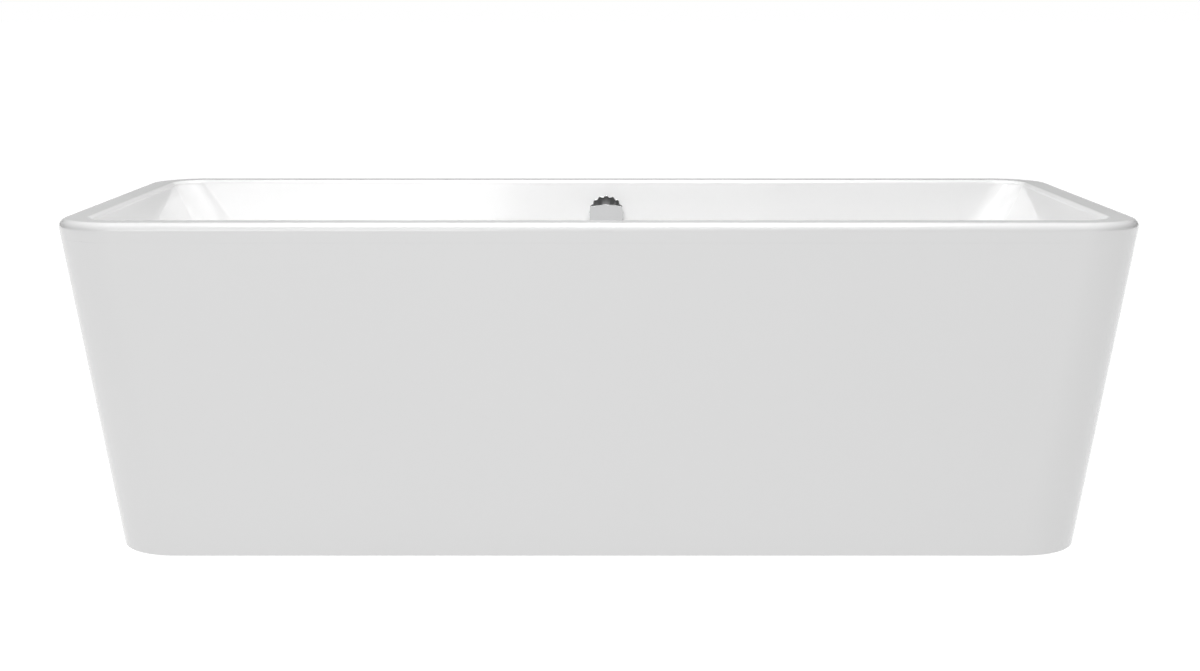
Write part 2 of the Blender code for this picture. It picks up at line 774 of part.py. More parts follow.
def make_waste_body():
    profile = [
        (0, BODY_BOTTOM),
        (BODY_R, BODY_BOTTOM),
        (BODY_R, BODY_TOP - BODY_FLANGE_T),
        (WASTE_FLANGE_R, BODY_TOP - BODY_FLANGE_T),
        (WASTE_FLANGE_R, BODY_TOP),
        (0, BODY_TOP),
    ]
    body = place("waste_body", turned(profile, ROUND), "black_plastic")
    inlet = ((0, 0, INLET_Z), (0, INLET_REACH, INLET_Z))
    outlet = ((0, 0, OUTLET_Z), (0, -OUTLET_REACH, OUTLET_Z))
    cable = ((0, 0, CABLE_Z), (-WASTE_CABLE_REACH, 0, CABLE_Z))
    join(
        body,
        helper("inlet_stub", rod_between(*inlet, PIPE_R)),
        helper("outlet_stub", rod_between(*outlet, OUTLET_R, ROUND)),
        helper("waste_cable_boss", rod_between(*cable, CABLE_BOSS_R, TINY_ROUND)),
    )
    floor = BODY_BOTTOM + WASTE_BODY_WALL
    inlet_bore = rod_between(inlet[0], beyond(*inlet), PIPE_R - PIPE_WALL)
    outlet_bore = rod_between(outlet[0], beyond(*outlet), OUTLET_R - OUTLET_WALL, ROUND)
    cable_bore = rod_between(cable[0], beyond(*cable), CABLE_R + GAP, TINY_ROUND)
    cut(
        body,
        helper("body_bore", rod(BODY_BORE_R, floor, BODY_TOP + PAST)),
        helper("inlet_bore", inlet_bore),
        helper("outlet_bore", outlet_bore),
        helper("waste_cable_bore", cable_bore),
    )
    top = LEVER_Z + LUG_W / 2
    sunk = floor - WASTE_BODY_WALL / 2
    for way in (-1, 1):
        lug = block((LUG_W, LUG_T, top - sunk), (LEVER_X, way * LUG_Y, (top + sunk) / 2))
        join(body, helper("lever_lug", lug))
    ends = [(LEVER_X, way * (LUG_Y + LUG_T), LEVER_Z) for way in (-1, 1)]
    cut(body, helper("lug_bore", rod_between(*ends, LEVER_PIN_R + GAP, TINY_ROUND)))


def make_lever():
    axis = empty("lever_axis", (LEVER_X, 0, LEVER_Z), (math.radians(90), 0, 0))
    tip = (LEVER_ARM * math.cos(-LEVER_DROP), LEVER_ARM * math.sin(-LEVER_DROP))
    outline = link_outline((0, 0), LEVER_HUB_R, tip, LEVER_TIP_R)
    lever = place("lift_lever", slab(outline, -LEVER_T / 2, LEVER_T / 2), "white_plastic", axis)
    bore = rod(LEVER_PIN_R + GAP, -LEVER_T, LEVER_T, TINY_ROUND)
    cut(lever, helper("lever_bore", bore, axis))
    reach = LUG_Y + LUG_T / 2
    place("lever_pin", rod(LEVER_PIN_R, -reach, reach, TINY_ROUND), "zinc_steel", axis)


def make_plug():
    """The cap, its seal and the stem, which move up and down together."""
    axis = empty("plug_axis", (0, 0, 0))
    cap_profile = [
        (0, CAP_LOW + STEM_SOCKET),
        (STEM_R + GAP, CAP_LOW + STEM_SOCKET),
        (STEM_R + GAP, CAP_LOW),
        (PLUG_R - PLUG_RIM_T / 3, CAP_LOW),
        (PLUG_R, CAP_LOW + PLUG_RIM_T / 3),
        (PLUG_R, CAP_LOW + PLUG_RIM_T),
    ]
    for angle in quarter(EDGE_STEPS, 1)[:-1]:
        rise = PLUG_RIM_T + PLUG_DOME * math.sin(angle)
        cap_profile.append((PLUG_R * math.cos(angle), CAP_LOW + rise))
    cap_profile.append((0, CAP_LOW + PLUG_RIM_T + PLUG_DOME))
    place("plug_cap", turned(cap_profile, ROUND), "chrome", axis)
    seal = washer(STEM_R + GAP, SEAL_R, SEAL_LOW, SEAL_LOW + SEAL_T)
    place("plug_seal", seal, "rubber", axis)
    stem_top = CAP_LOW + STEM_SOCKET - GAP
    stem_profile = [
        (0, STEM_LOW),
        (STEM_TIP_R, STEM_LOW),
        (STEM_R, STEM_LOW + STEM_R),
        (STEM_R, stem_top),
        (0, stem_top),
    ]
    place("plug_stem", turned(stem_profile, TINY_ROUND), "zinc_steel", axis)


def make_outlet():
    end = -OUTLET_REACH
    low = TAILPIPE_INSERT
    pipe = [
        (TAILPIPE_R - TAILPIPE_WALL, -low),
        (TAILPIPE_R, -low),
        (TAILPIPE_R, TAILPIPE_LENGTH - low),
        (TAILPIPE_R - TAILPIPE_WALL, TAILPIPE_LENGTH - low),
    ]
    mouth = ((0, end, OUTLET_Z), (0, end - 1, OUTLET_Z))
    place("tailpipe", turned_between(*mouth, pipe, ROUND), "chrome")
    ring = [
        (TAILPIPE_R + GAP, GAP),
        (OUTLET_R, GAP),
        (OUTLET_R - OUTLET_WASHER_T / 2, GAP + OUTLET_WASHER_T),
        (TAILPIPE_R + GAP, GAP + OUTLET_WASHER_T),
    ]
    place("outlet_washer", turned_between(*mouth, ring, ROUND), "rubber")
    inner = GAP + OUTLET_WASHER_T + GAP
    outer = inner + OUTLET_NUT_LIP
    nut_r = OUTLET_R + GAP + OUTLET_NUT_WALL
    nut = [
        (OUTLET_R + GAP, outer - OUTLET_NUT_LENGTH),
        (nut_r, outer - OUTLET_NUT_LENGTH),
        (nut_r, outer),
        (TAILPIPE_R + GAP, outer),
        (TAILPIPE_R + GAP, inner),
        (OUTLET_R + GAP, inner),
    ]
    place("outlet_nut", turned_between(*mouth, nut, ROUND), "black_plastic")


# Overflow, in a frame on the back wall: local +Z comes out of the wall, local +Y runs up it

OVERFLOW_Z = HEIGHT - OVERFLOW_DROP
WALL_Y = basin_inside(OVERFLOW_Z)[1]
OVERFLOW_TILT = math.radians(90) - SIDE_LEAN
BACK = -SHELL_T - GAP - GASKET_T - GAP  # front of the overflow body
CUP_BORE_R = COLLAR_R + RUNNING_GAP
CUP_R = CUP_BORE_R + BODY_WALL


def overflow_point(x, y, z):
    """A point of the overflow's frame, in the tub's frame."""
    turn = Euler((OVERFLOW_TILT, 0, 0)).to_matrix()
    return Vector((OVERFLOW_X, WALL_Y, OVERFLOW_Z)) + turn @ Vector((x, y, z))


def make_knob(frame):
    outline = []
    for step in range(4 * KNOB_FLUTES):
        angle = math.tau * step / (4 * KNOB_FLUTES)
        radius = KNOB_R - FLUTE_DEPTH * (1 - math.cos(KNOB_FLUTES * angle)) / 2
        outline.append((radius * math.cos(angle), radius * math.sin(angle)))
    grip_top = KNOB_STANDOFF + KNOB_GRIP_T
    top = grip_top + KNOB_FACE_T
    knob = place("overflow_knob", slab(outline, KNOB_STANDOFF, grip_top), "chrome", frame)
    edge = KNOB_FACE_T / 5
    face_profile = [
        (0, grip_top - edge),
        (KNOB_FACE_R, grip_top - edge),
        (KNOB_FACE_R, top - edge),
        (KNOB_FACE_R - edge, top),
        (0, top),
    ]
    face = helper("knob_face", turned(face_profile, 2 * ROUND), frame)
    scoop = rod(SCOOP_R, 0, 2 * top, 4 * ROUND)
    below = helper("knob_scoop", scoop, frame, (0, SCOOP_RISE - SCOOP_R, 0))
    combine(face, below, "INTERSECT")
    join(knob, face)
    socket = rod(SPINDLE_R + GAP, 0, KNOB_STANDOFF + KNOB_SOCKET, TINY_ROUND)
    cut(knob, helper("knob_socket", socket, frame))


def make_spindle(frame):
    top = KNOB_STANDOFF + KNOB_SOCKET - GAP
    place("knob_spindle", rod(SPINDLE_R, -SPINDLE_DEPTH, top, TINY_ROUND), "zinc_steel", frame)
    outline = link_outline((0, 0), HUB_R, (CAM_R - HUB_R / 2, 0), HUB_R / 2)
    cam = slab(outline, -CAM_DEPTH - CAM_T, -CAM_DEPTH)
    cam = place("cable_cam", cam, "white_plastic", frame)
    bore = rod(SPINDLE_R + GAP, -SPINDLE_DEPTH * 2, 0, TINY_ROUND)
    cut(cam, helper("cam_bore", bore, frame))


def make_collar(frame):
    front = GAP + FACEPLATE_T
    profile = [
        (COLLAR_R - COLLAR_WALL, front),
        (COLLAR_R - COLLAR_WALL, -COLLAR_LENGTH),
        (COLLAR_R, -COLLAR_LENGTH),
        (COLLAR_R, GAP),
        (FACEPLATE_R, GAP),
        (FACEPLATE_R, GAP + FACEPLATE_T / 2),
        (FACEPLATE_R - FACEPLATE_T / 2, front),
    ]
    collar = place("overflow_collar", turned(profile, ROUND), "chrome", frame)
    reach = COLLAR_R - COLLAR_WALL / 2
    join(collar, spokes(HUB_R, SPINDLE_R + RUNNING_GAP, reach, -2 * SPOKE_T, -SPOKE_T, frame))


def make_overflow_body(frame):
    low = BACK + GAP
    gasket = washer(OVERFLOW_HOLE_R, BODY_FLANGE_R, low, low + GASKET_T)
    place("overflow_gasket", gasket, "rubber", frame)
    bottom = BACK - OVERFLOW_BODY_DEPTH
    profile = [
        (0, bottom),
        (CUP_R, bottom),
        (CUP_R, BACK - BODY_FLANGE_T),
        (BODY_FLANGE_R, BACK - BODY_FLANGE_T),
        (BODY_FLANGE_R, BACK),
        (0, BACK),
    ]
    body = place("overflow_body", turned(profile, ROUND), "black_plastic", frame)
    down = ((0, 0, -STUB_BACK), (0, -PIPE_STUB, -STUB_BACK))
    side = ((0, 0, -STUB_BACK), (-CABLE_BOSS_REACH, 0, -STUB_BACK))
    join(
        body,
        helper("overflow_stub", rod_between(*down, PIPE_R), frame),
        helper("overflow_cable_boss", rod_between(*side, CABLE_BOSS_R, TINY_ROUND), frame),
    )
    bore = rod(CUP_BORE_R, bottom + BODY_WALL, 0)
    stub_bore = rod_between(down[0], beyond(*down), PIPE_R - PIPE_WALL)
    boss_bore = rod_between(side[0], beyond(*side), CABLE_R + GAP, TINY_ROUND)
    cut(
        body,
        helper("cup_bore", bore, frame),
        helper("stub_bore", stub_bore, frame),
        helper("boss_bore", boss_bore, frame),
    )


# Overflow hose, control cable and their nuts. Both are flexible, with the routes that they take
# between their ends chosen by hand.

PIPE_ROUTE = [
    (0.013, 0.340, 0.370),
    (0.011, 0.322, 0.270),
    (0.008, 0.302, 0.175),
    (0.004, 0.262, 0.100),
    (0.000, 0.195, INLET_Z + 0.002),
    (0.000, 0.130, INLET_Z),
]
CABLE_ROUTE = [
    (-0.078, 0.362, 0.492),
    (-0.104, 0.350, 0.430),
    (-0.112, 0.328, 0.300),
    (-0.118, 0.302, 0.175),
    (-0.128, 0.255, 0.090),
    (-0.142, 0.170, CABLE_Z + 0.008),
    (-0.142, 0.070, CABLE_Z + 0.002),
    (-0.115, 0.014, CABLE_Z),
]


def pipe_nut(name, joint, way, inner, wall, length):
    way = Vector(way).normalized()
    start = Vector(joint) - way * length / 2
    profile = [(inner, 0), (inner + wall, 0), (inner + wall, length), (inner, length)]
    place(name, turned_between(start, start + way, profile, SMALL_ROUND), "black_plastic")


def make_pipe():
    down = overflow_point(0, -1, 0) - overflow_point(0, 0, 0)
    start = overflow_point(0, -PIPE_STUB - GAP, -STUB_BACK)
    end = Vector((0, INLET_REACH + GAP, INLET_Z))
    arrive = Vector((0, -1, 0))
    ends = (start + down * PIPE_R, end - arrive * PIPE_R)
    path = smooth_path([start, ends[0], *PIPE_ROUTE, ends[1], end], PIPE_STEP)
    pipe = swept(path, PIPE_R, PIPE_R - PIPE_WALL, TINY_ROUND, down, arrive)
    place("overflow_pipe", pipe, "white_plastic")
    inner = PIPE_R + RUNNING_GAP
    pipe_nut("pipe_nut_overflow", start, down, inner, PIPE_NUT_WALL, PIPE_NUT_LENGTH)
    pipe_nut("pipe_nut_waste", end, arrive, inner, PIPE_NUT_WALL, PIPE_NUT_LENGTH)


def make_cable():
    start = overflow_point(-CABLE_BOSS_REACH - GAP, 0, -STUB_BACK)
    end = Vector((-WASTE_CABLE_REACH - GAP, 0, CABLE_Z))
    leave = Vector((-1, 0, 0))
    arrive = Vector((1, 0, 0))
    ends = (start + leave * CABLE_NUT_LENGTH, end - arrive * CABLE_NUT_LENGTH)
    path = smooth_path([start, ends[0], *CABLE_ROUTE, ends[1], end], CABLE_STEP)
    cable = swept(path, CABLE_R, 0, CABLE_ROUND, leave, arrive)
    place("control_cable", cable, "black_plastic")
    inner = CABLE_BOSS_R + RUNNING_GAP
    for name, joint, way in (
        ("cable_nut_overflow", start, leave),
        ("cable_nut_waste", end, arrive),
    ):
        length = CABLE_NUT_LENGTH
        lip = CABLE_R + RUNNING_GAP
        half = length / 2
        profile = [
            (inner, -half),
            (inner + CABLE_NUT_WALL, -half),
            (inner + CABLE_NUT_WALL, half),
            (lip, half),
            (lip, GAP),
            (inner, GAP),
        ]
        away = way if name.endswith("overflow") else -way
        nut = turned_between(joint, joint + away, profile, TINY_ROUND)
        place(name, nut, "black_plastic")


def build():
    clear_scene()
    overflow = empty("overflow_axis", overflow_point(0, 0, 0), (OVERFLOW_TILT, 0, 0))
    make_basin(overflow)
    make_skirt()
    make_board()
    make_board_screws()
    make_rails()
    make_crossbars()
    make_end_caps()
    make_feet()
    make_waste_flange()
    make_waste_gaskets()
    make_waste_body()
    make_lever()
    make_plug()
    make_outlet()
    make_knob(overflow)
    make_spindle(overflow)
    make_collar(overflow)
    make_overflow_body(overflow)
    make_pipe()
    make_cable()


build()
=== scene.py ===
import math
import json

import bmesh
import bpy
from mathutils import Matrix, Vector


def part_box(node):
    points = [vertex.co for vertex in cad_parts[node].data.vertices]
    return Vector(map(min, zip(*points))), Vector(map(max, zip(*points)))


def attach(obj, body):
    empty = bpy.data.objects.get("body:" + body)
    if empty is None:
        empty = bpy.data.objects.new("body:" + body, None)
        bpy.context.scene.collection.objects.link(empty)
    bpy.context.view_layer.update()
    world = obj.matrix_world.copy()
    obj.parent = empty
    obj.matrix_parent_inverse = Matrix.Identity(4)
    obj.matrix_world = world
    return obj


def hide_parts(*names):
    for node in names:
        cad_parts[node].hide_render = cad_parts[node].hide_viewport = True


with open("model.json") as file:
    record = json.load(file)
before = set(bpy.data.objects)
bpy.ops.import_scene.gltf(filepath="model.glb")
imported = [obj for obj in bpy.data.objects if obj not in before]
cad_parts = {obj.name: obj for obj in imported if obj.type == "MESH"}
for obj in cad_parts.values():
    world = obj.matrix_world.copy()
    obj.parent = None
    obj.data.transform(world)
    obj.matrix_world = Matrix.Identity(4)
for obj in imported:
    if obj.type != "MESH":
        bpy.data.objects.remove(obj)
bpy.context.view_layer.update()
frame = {"nodes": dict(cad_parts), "record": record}
nodes = frame["nodes"]
joints = {joint["name"]: joint for joint in frame["record"]["behaviour"]["joints"]}
print("frame loaded:", len(nodes), "nodes")


# small helpers for working in edit mode

def clearSelection():
    if bpy.context.object and bpy.context.object.mode != "OBJECT":
        bpy.ops.object.mode_set(mode="OBJECT")
    bpy.ops.object.select_all(action="DESELECT")


def activate(piece):
    clearSelection()
    piece.select_set(True)
    bpy.context.view_layer.objects.active = piece


def edit(piece):
    activate(piece)
    bpy.ops.object.mode_set(mode="EDIT")
    bpy.ops.mesh.select_mode(type="VERT")


def pointOutwards(piece, weld=0.0):  # merges points closer than weld, then turns the faces out
    edit(piece)
    bpy.ops.mesh.select_all(action="SELECT")
    if weld:
        bpy.ops.mesh.remove_doubles(threshold=weld)
    bpy.ops.mesh.normals_make_consistent(inside=False)
    bpy.ops.object.mode_set(mode="OBJECT")


def closeEnds(piece):
    edit(piece)
    bpy.ops.mesh.select_all(action="SELECT")
    bpy.ops.mesh.fill_holes(sides=0)
    pointOutwards(piece)


def applyModifier(piece, kind, **settings):
    activate(piece)
    modifier = piece.modifiers.new(kind.lower(), kind)
    for key, value in settings.items():
        setattr(modifier, key, value)
    bpy.ops.object.modifier_apply(modifier=modifier.name)


# shades the piece, gives it its finish, hands it to a body and hides the node it stands for
def finishPiece(piece, name, body, slot, node, smoothAngle=35):
    activate(piece)
    bpy.ops.object.transform_apply(location=True, rotation=True, scale=True)
    bpy.ops.object.shade_smooth_by_angle(angle=math.radians(smoothAngle))
    applyModifier(piece, "WEIGHTED_NORMAL", keep_sharp=True)
    piece.name = name
    piece.data.name = name
    if not piece.data.materials:
        piece.data.materials.append(finishes[slot])
    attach(piece, body)
    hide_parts(node)


def joinPieces(parts):
    activate(parts[0])
    for part in parts[1:]:
        part.select_set(True)
    bpy.ops.object.join()
    return bpy.context.object


# loops: rounded rectangles that bridge into a skin

loopShape = {"cornerSegments": 20, "nearRound": 0.98}      # the corner's share of a near-round loop


def roundedLoop(halfX, halfY, radius, z):
    bpy.ops.mesh.primitive_plane_add(size=2, location=(0, 0, z))
    piece = bpy.context.object
    bpy.ops.object.mode_set(mode="EDIT")
    bpy.ops.transform.resize(value=(halfX, halfY, 1))
    bpy.ops.mesh.bevel(offset=radius, affect="VERTICES", segments=loopShape["cornerSegments"])
    bpy.ops.mesh.delete(type="ONLY_FACE")
    bpy.ops.object.mode_set(mode="OBJECT")
    bpy.ops.object.transform_apply(location=True)
    return piece


def skinLoops(loops, cuts=()):  # cuts gives extra rows after a loop, by its number
    clearSelection()
    piece = joinPieces([roundedLoop(*loop) for loop in loops])
    count = 4 * (loopShape["cornerSegments"] + 1)
    edit(piece)
    for number in range(len(loops) - 1):
        bpy.ops.mesh.select_all(action="DESELECT")
        mesh = bmesh.from_edit_mesh(piece.data)
        mesh.verts.ensure_lookup_table()
        for vertex in mesh.verts[number * count:(number + 2) * count]:
            vertex.select_set(True)
        mesh.select_flush(True)
        bmesh.update_edit_mesh(piece.data)
        bpy.ops.mesh.bridge_edge_loops(number_cuts=dict(cuts).get(number, 0), interpolation="LINEAR")
    bpy.ops.object.mode_set(mode="OBJECT")
    return piece


def circlePiece(radius, count, z):
    clearSelection()
    bpy.ops.mesh.primitive_circle_add(vertices=count, radius=radius, location=(0, 0, z))
    bpy.ops.object.transform_apply(location=True)
    return bpy.context.object


def closeLoop(piece, numbers):  # closes a loop of vertices with a fan to its middle
    mesh = bmesh.from_edit_mesh(piece.data)
    mesh.verts.ensure_lookup_table()
    bpy.ops.mesh.select_all(action="DESELECT")
    for number in numbers:
        mesh.verts[number].select_set(True)
    mesh.select_flush(True)
    bmesh.update_edit_mesh(piece.data)
    bpy.ops.mesh.extrude_edges_move()
    bpy.ops.mesh.merge(type="CENTER")


# a circle pulled through (radius, height) steps; edge rounds the corners of the profile
def roundShape(profile, count=96, solid=False, edge=0.0):
    radius, height = profile[0]
    piece = circlePiece(radius, count, height)
    bpy.ops.object.mode_set(mode="EDIT")
    bpy.ops.mesh.select_all(action="SELECT")
    for (oldR, oldZ), (newR, newZ) in zip(profile, profile[1:]):
        bpy.ops.mesh.extrude_edges_move(TRANSFORM_OT_translate={"value": (0, 0, newZ - oldZ)})
        scale = newR / oldR
        bpy.ops.transform.resize(value=(scale, scale, 1), center_override=(0, 0, newZ))
    if solid:
        total = count * len(profile)
        closeLoop(piece, range(total - count, total))
        closeLoop(piece, range(count))
    pointOutwards(piece, weld=0.000005)
    if edge:
        softenEdges(piece, edge)
    return piece


def softenEdges(piece, width, segments=3, angle=28):
    applyModifier(piece, "BEVEL", width=width, segments=segments, limit_method="ANGLE",
                  angle_limit=math.radians(angle), use_clamp_overlap=True)


def flutedDisc(radius, height, flutes, depth, edge):  # a disc scalloped all the way round
    clearSelection()
    bpy.ops.mesh.primitive_circle_add(vertices=flutes * 12, radius=radius, fill_type="NGON")
    disc = bpy.context.object
    edit(disc)
    for point in bmesh.from_edit_mesh(disc.data).verts:
        angle = math.atan2(point.co.y, point.co.x)
        dip = depth * (1 - math.cos(flutes * angle)) / 2
        point.co.x -= dip * math.cos(angle)
        point.co.y -= dip * math.sin(angle)
    bpy.ops.mesh.select_all(action="SELECT")
    bpy.ops.mesh.extrude_region_move(TRANSFORM_OT_translate={"value": (0, 0, height)})
    pointOutwards(disc)
    softenEdges(disc, edge, angle=50)
    return disc


def combine(piece, other, operation):
    applyModifier(piece, "BOOLEAN", object=other, operation=operation, solver="EXACT")
    bpy.data.objects.remove(other, do_unlink=True)
    return piece


def cylinder(radius, low, high, count=64, x=0, y=0):
    clearSelection()
    bpy.ops.mesh.primitive_cylinder_add(vertices=count, radius=radius, depth=high - low,
                                        location=(x, y, (low + high) / 2))
    bpy.ops.object.transform_apply(location=True)
    return bpy.context.object


def makeBlock(size, at, edge, angle=0.0):
    clearSelection()
    bpy.ops.mesh.primitive_cube_add(size=1, scale=size, rotation=(0, 0, angle), location=at)
    block = bpy.context.object
    bpy.ops.object.transform_apply(location=True, rotation=True, scale=True)
    softenEdges(block, edge)
    return block


def stand(piece, at, way=(0, 0, 1)):  # moves a piece made along Z, and turns it to point along way
    activate(piece)
    piece.rotation_euler = Vector(way).to_track_quat("Z", "Y").to_euler()
    piece.location = at
    bpy.ops.object.transform_apply(location=True, rotation=True)
    return piece


def nodeMiddle(name):
    low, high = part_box(name)
    return (low + high) / 2


# shader groups, each built once and used by several materials

def newGroup(name, inputs, outputs):
    group = bpy.data.node_groups.new(name, "ShaderNodeTree")
    for label, kind, value in inputs:
        made = group.interface.new_socket(label, in_out="INPUT", socket_type=kind)
        made.default_value = value
    for label, kind in outputs:
        group.interface.new_socket(label, in_out="OUTPUT", socket_type=kind)
    return group, group.nodes.new("NodeGroupInput"), group.nodes.new("NodeGroupOutput")


def addNode(tree, kind, place=(0, 0), **settings):
    node = tree.nodes.new(kind)
    node.location = place
    for key, value in settings.items():
        setattr(node, key, value)
    return node


def makeMottle():  # soft two-tone variation of colour and roughness
    group, start, end = newGroup("softMottle", [
        ("Coordinates", "NodeSocketVector", (0, 0, 0)), ("Light Colour", "NodeSocketColor", (1, 1, 1, 1)),
        ("Dark Colour", "NodeSocketColor", (0.8, 0.8, 0.8, 1)), ("Scale", "NodeSocketFloat", 5.0),
        ("Roughness Low", "NodeSocketFloat", 0.1), ("Roughness High", "NodeSocketFloat", 0.2),
    ], [("Colour", "NodeSocketColor"), ("Roughness", "NodeSocketFloat")])
    noise = addNode(group, "ShaderNodeTexNoise", (-300, 0))
    noise.inputs["Detail"].default_value = 5.0
    mix = addNode(group, "ShaderNodeMix", (0, 0), data_type="RGBA")
    spread = addNode(group, "ShaderNodeMapRange", (-100, -200))
    spread.inputs["From Min"].default_value = 0.3
    spread.inputs["From Max"].default_value = 0.7
    link = group.links.new
    link(start.outputs["Coordinates"], noise.inputs["Vector"])
    link(start.outputs["Scale"], noise.inputs["Scale"])
    link(noise.outputs["Fac"], mix.inputs[0])
    link(start.outputs["Light Colour"], mix.inputs[6])
    link(start.outputs["Dark Colour"], mix.inputs[7])
    link(noise.outputs["Fac"], spread.inputs["Value"])
    link(start.outputs["Roughness Low"], spread.inputs["To Min"])
    link(start.outputs["Roughness High"], spread.inputs["To Max"])
    link(mix.outputs[2], end.inputs["Colour"])
    link(spread.outputs["Result"], end.inputs["Roughness"])
    return group


def makeRipple():  # slow waves and fine grain, as a formed or moulded surface has
    group, start, end = newGroup("surfaceRipple", [
        ("Coordinates", "NodeSocketVector", (0, 0, 0)), ("Wave Scale", "NodeSocketFloat", 3.0),
        ("Wave Strength", "NodeSocketFloat", 0.1), ("Grain Scale", "NodeSocketFloat", 200.0),
        ("Grain Strength", "NodeSocketFloat", 0.05),
    ], [("Height", "NodeSocketFloat")])
    wave = addNode(group, "ShaderNodeTexNoise", (-400, 100))
    grain = addNode(group, "ShaderNodeTexNoise", (-400, -150))
    grain.inputs["Detail"].default_value = 3.0
    first = addNode(group, "ShaderNodeMath", (-150, 100), operation="MULTIPLY")
    second = addNode(group, "ShaderNodeMath", (-150, -150), operation="MULTIPLY")
    total = addNode(group, "ShaderNodeMath", (50, 0), operation="ADD")
    link = group.links.new
    for texture, scale, factor, strength in (
        (wave, "Wave Scale", first, "Wave Strength"), (grain, "Grain Scale", second, "Grain Strength")):
        link(start.outputs["Coordinates"], texture.inputs["Vector"])
        link(start.outputs[scale], texture.inputs["Scale"])
        link(texture.outputs["Fac"], factor.inputs[0])
        link(start.outputs[strength], factor.inputs[1])
    link(first.outputs[0], total.inputs[0])
    link(second.outputs[0], total.inputs[1])
    link(total.outputs[0], end.inputs["Height"])
    return group


mottleGroup = makeMottle()
rippleGroup = makeRipple()


def newMaterial(name, metallic=0.0, coat=0.0, coatRoughness=0.03, ior=1.5):
    material = bpy.data.materials.new(name)
    material.use_nodes = True
    shader = material.node_tree.nodes["Principled BSDF"]
    shader.inputs["Metallic"].default_value = metallic
    shader.inputs["Coat Weight"].default_value = coat
    shader.inputs["Coat Roughness"].default_value = coatRoughness
    shader.inputs["IOR"].default_value = ior
    return material, shader


def layeredMaterial(name, look, **shaderSettings):
    material, shader = newMaterial(name, **shaderSettings)
    tree = material.node_tree
    coordinates = addNode(tree, "ShaderNodeTexCoord", (-900, 0))
    mottle = addNode(tree, "ShaderNodeGroup", (-500, 100), node_tree=mottleGroup)
    ripple = addNode(tree, "ShaderNodeGroup", (-500, -250), node_tree=rippleGroup)
    bump = addNode(tree, "ShaderNodeBump", (-250, -250))
    bump.inputs["Distance"].default_value = look["bumpDistance"]
    bump.inputs["Strength"].default_value = 1.0
    mottle.inputs["Light Colour"].default_value = (*look["light"], 1)
    mottle.inputs["Dark Colour"].default_value = (*look["dark"], 1)
    mottle.inputs["Scale"].default_value = look["mottleScale"]
    mottle.inputs["Roughness Low"].default_value = look["roughness"][0]
    mottle.inputs["Roughness High"].default_value = look["roughness"][1]
    for label in ("Wave", "Grain"):
        ripple.inputs[f"{label} Scale"].default_value = look[label.lower()][0]
        ripple.inputs[f"{label} Strength"].default_value = look[label.lower()][1]
    link = tree.links.new
    link(coordinates.outputs["Object"], mottle.inputs["Coordinates"])
    link(coordinates.outputs["Object"], ripple.inputs["Coordinates"])
    link(ripple.outputs["Height"], bump.inputs["Height"])
    link(mottle.outputs["Colour"], shader.inputs["Base Color"])
    link(mottle.outputs["Roughness"], shader.inputs["Roughness"])
    link(bump.outputs["Normal"], shader.inputs["Normal"])
    return material


# wave and grain each give a scale and a strength
acrylicLook = {
    "light": (0.87, 0.87, 0.87), "dark": (0.85, 0.85, 0.85), "mottleScale": 2.0,
    "roughness": (0.16, 0.22), "wave": (1.6, 0.6), "grain": (260.0, 0.02), "bumpDistance": 0.0008,
}
fibreglassLook = {
    "light": (0.74, 0.73, 0.68), "dark": (0.58, 0.57, 0.52), "mottleScale": 30.0,
    "roughness": (0.45, 0.7), "wave": (25.0, 1.0), "grain": (420.0, 0.6), "bumpDistance": 0.0012,
}
chromeLook = {
    "light": (0.86, 0.865, 0.87), "dark": (0.80, 0.805, 0.81), "mottleScale": 40.0,
    "roughness": (0.03, 0.07), "wave": (30.0, 0.3), "grain": (900.0, 0.05), "bumpDistance": 0.00003,
}
zincLook = {
    "light": (0.66, 0.67, 0.69), "dark": (0.44, 0.45, 0.47), "mottleScale": 90.0,
    "roughness": (0.28, 0.5), "wave": (60.0, 0.5), "grain": (700.0, 0.4), "bumpDistance": 0.0001,
}
blackPlasticLook = {
    "light": (0.035, 0.035, 0.036), "dark": (0.02, 0.02, 0.021), "mottleScale": 40.0,
    "roughness": (0.35, 0.55), "wave": (60.0, 0.2), "grain": (900.0, 0.8), "bumpDistance": 0.0001,
}
whitePlasticLook = {
    "light": (0.80, 0.80, 0.78), "dark": (0.72, 0.72, 0.70), "mottleScale": 30.0,
    "roughness": (0.3, 0.45), "wave": (60.0, 0.3), "grain": (900.0, 0.4), "bumpDistance": 0.0001,
}
rubberLook = {
    "light": (0.06, 0.06, 0.06), "dark": (0.03, 0.03, 0.03), "mottleScale": 60.0,
    "roughness": (0.6, 0.85), "wave": (90.0, 0.3), "grain": (1200.0, 0.8), "bumpDistance": 0.0001,
}
boardLook = {
    "light": (0.60, 0.47, 0.31), "dark": (0.36, 0.25, 0.15), "mottleScale": 160.0,
    "roughness": (0.7, 0.9), "wave": (120.0, 0.6), "grain": (800.0, 0.5), "bumpDistance": 0.0004,
}

acrylic = layeredMaterial("whiteAcrylic", acrylicLook, coat=0.3, coatRoughness=0.05, ior=1.49)
fibreglass = layeredMaterial("fibreglassBacking", fibreglassLook)
finishes = {
    "acrylic": acrylic,
    "chrome": layeredMaterial("polishedChrome", chromeLook, metallic=1.0),
    "zinc_steel": layeredMaterial("zincSteel", zincLook, metallic=1.0),
    "black_plastic": layeredMaterial("blackPolypropylene", blackPlasticLook),
    "white_plastic": layeredMaterial("whitePolypropylene", whitePlasticLook),
    "rubber": layeredMaterial("mattRubber", rubberLook),
    "board": layeredMaterial("chipboard", boardLook),
}
for part in frame["record"]["subparts"]:
    nodeMesh = nodes[part["node"]].data
    nodeMesh.materials.clear()
    nodeMesh.materials.append(finishes[part["material_slot"]])
print("materials made")


# the two big mouldings

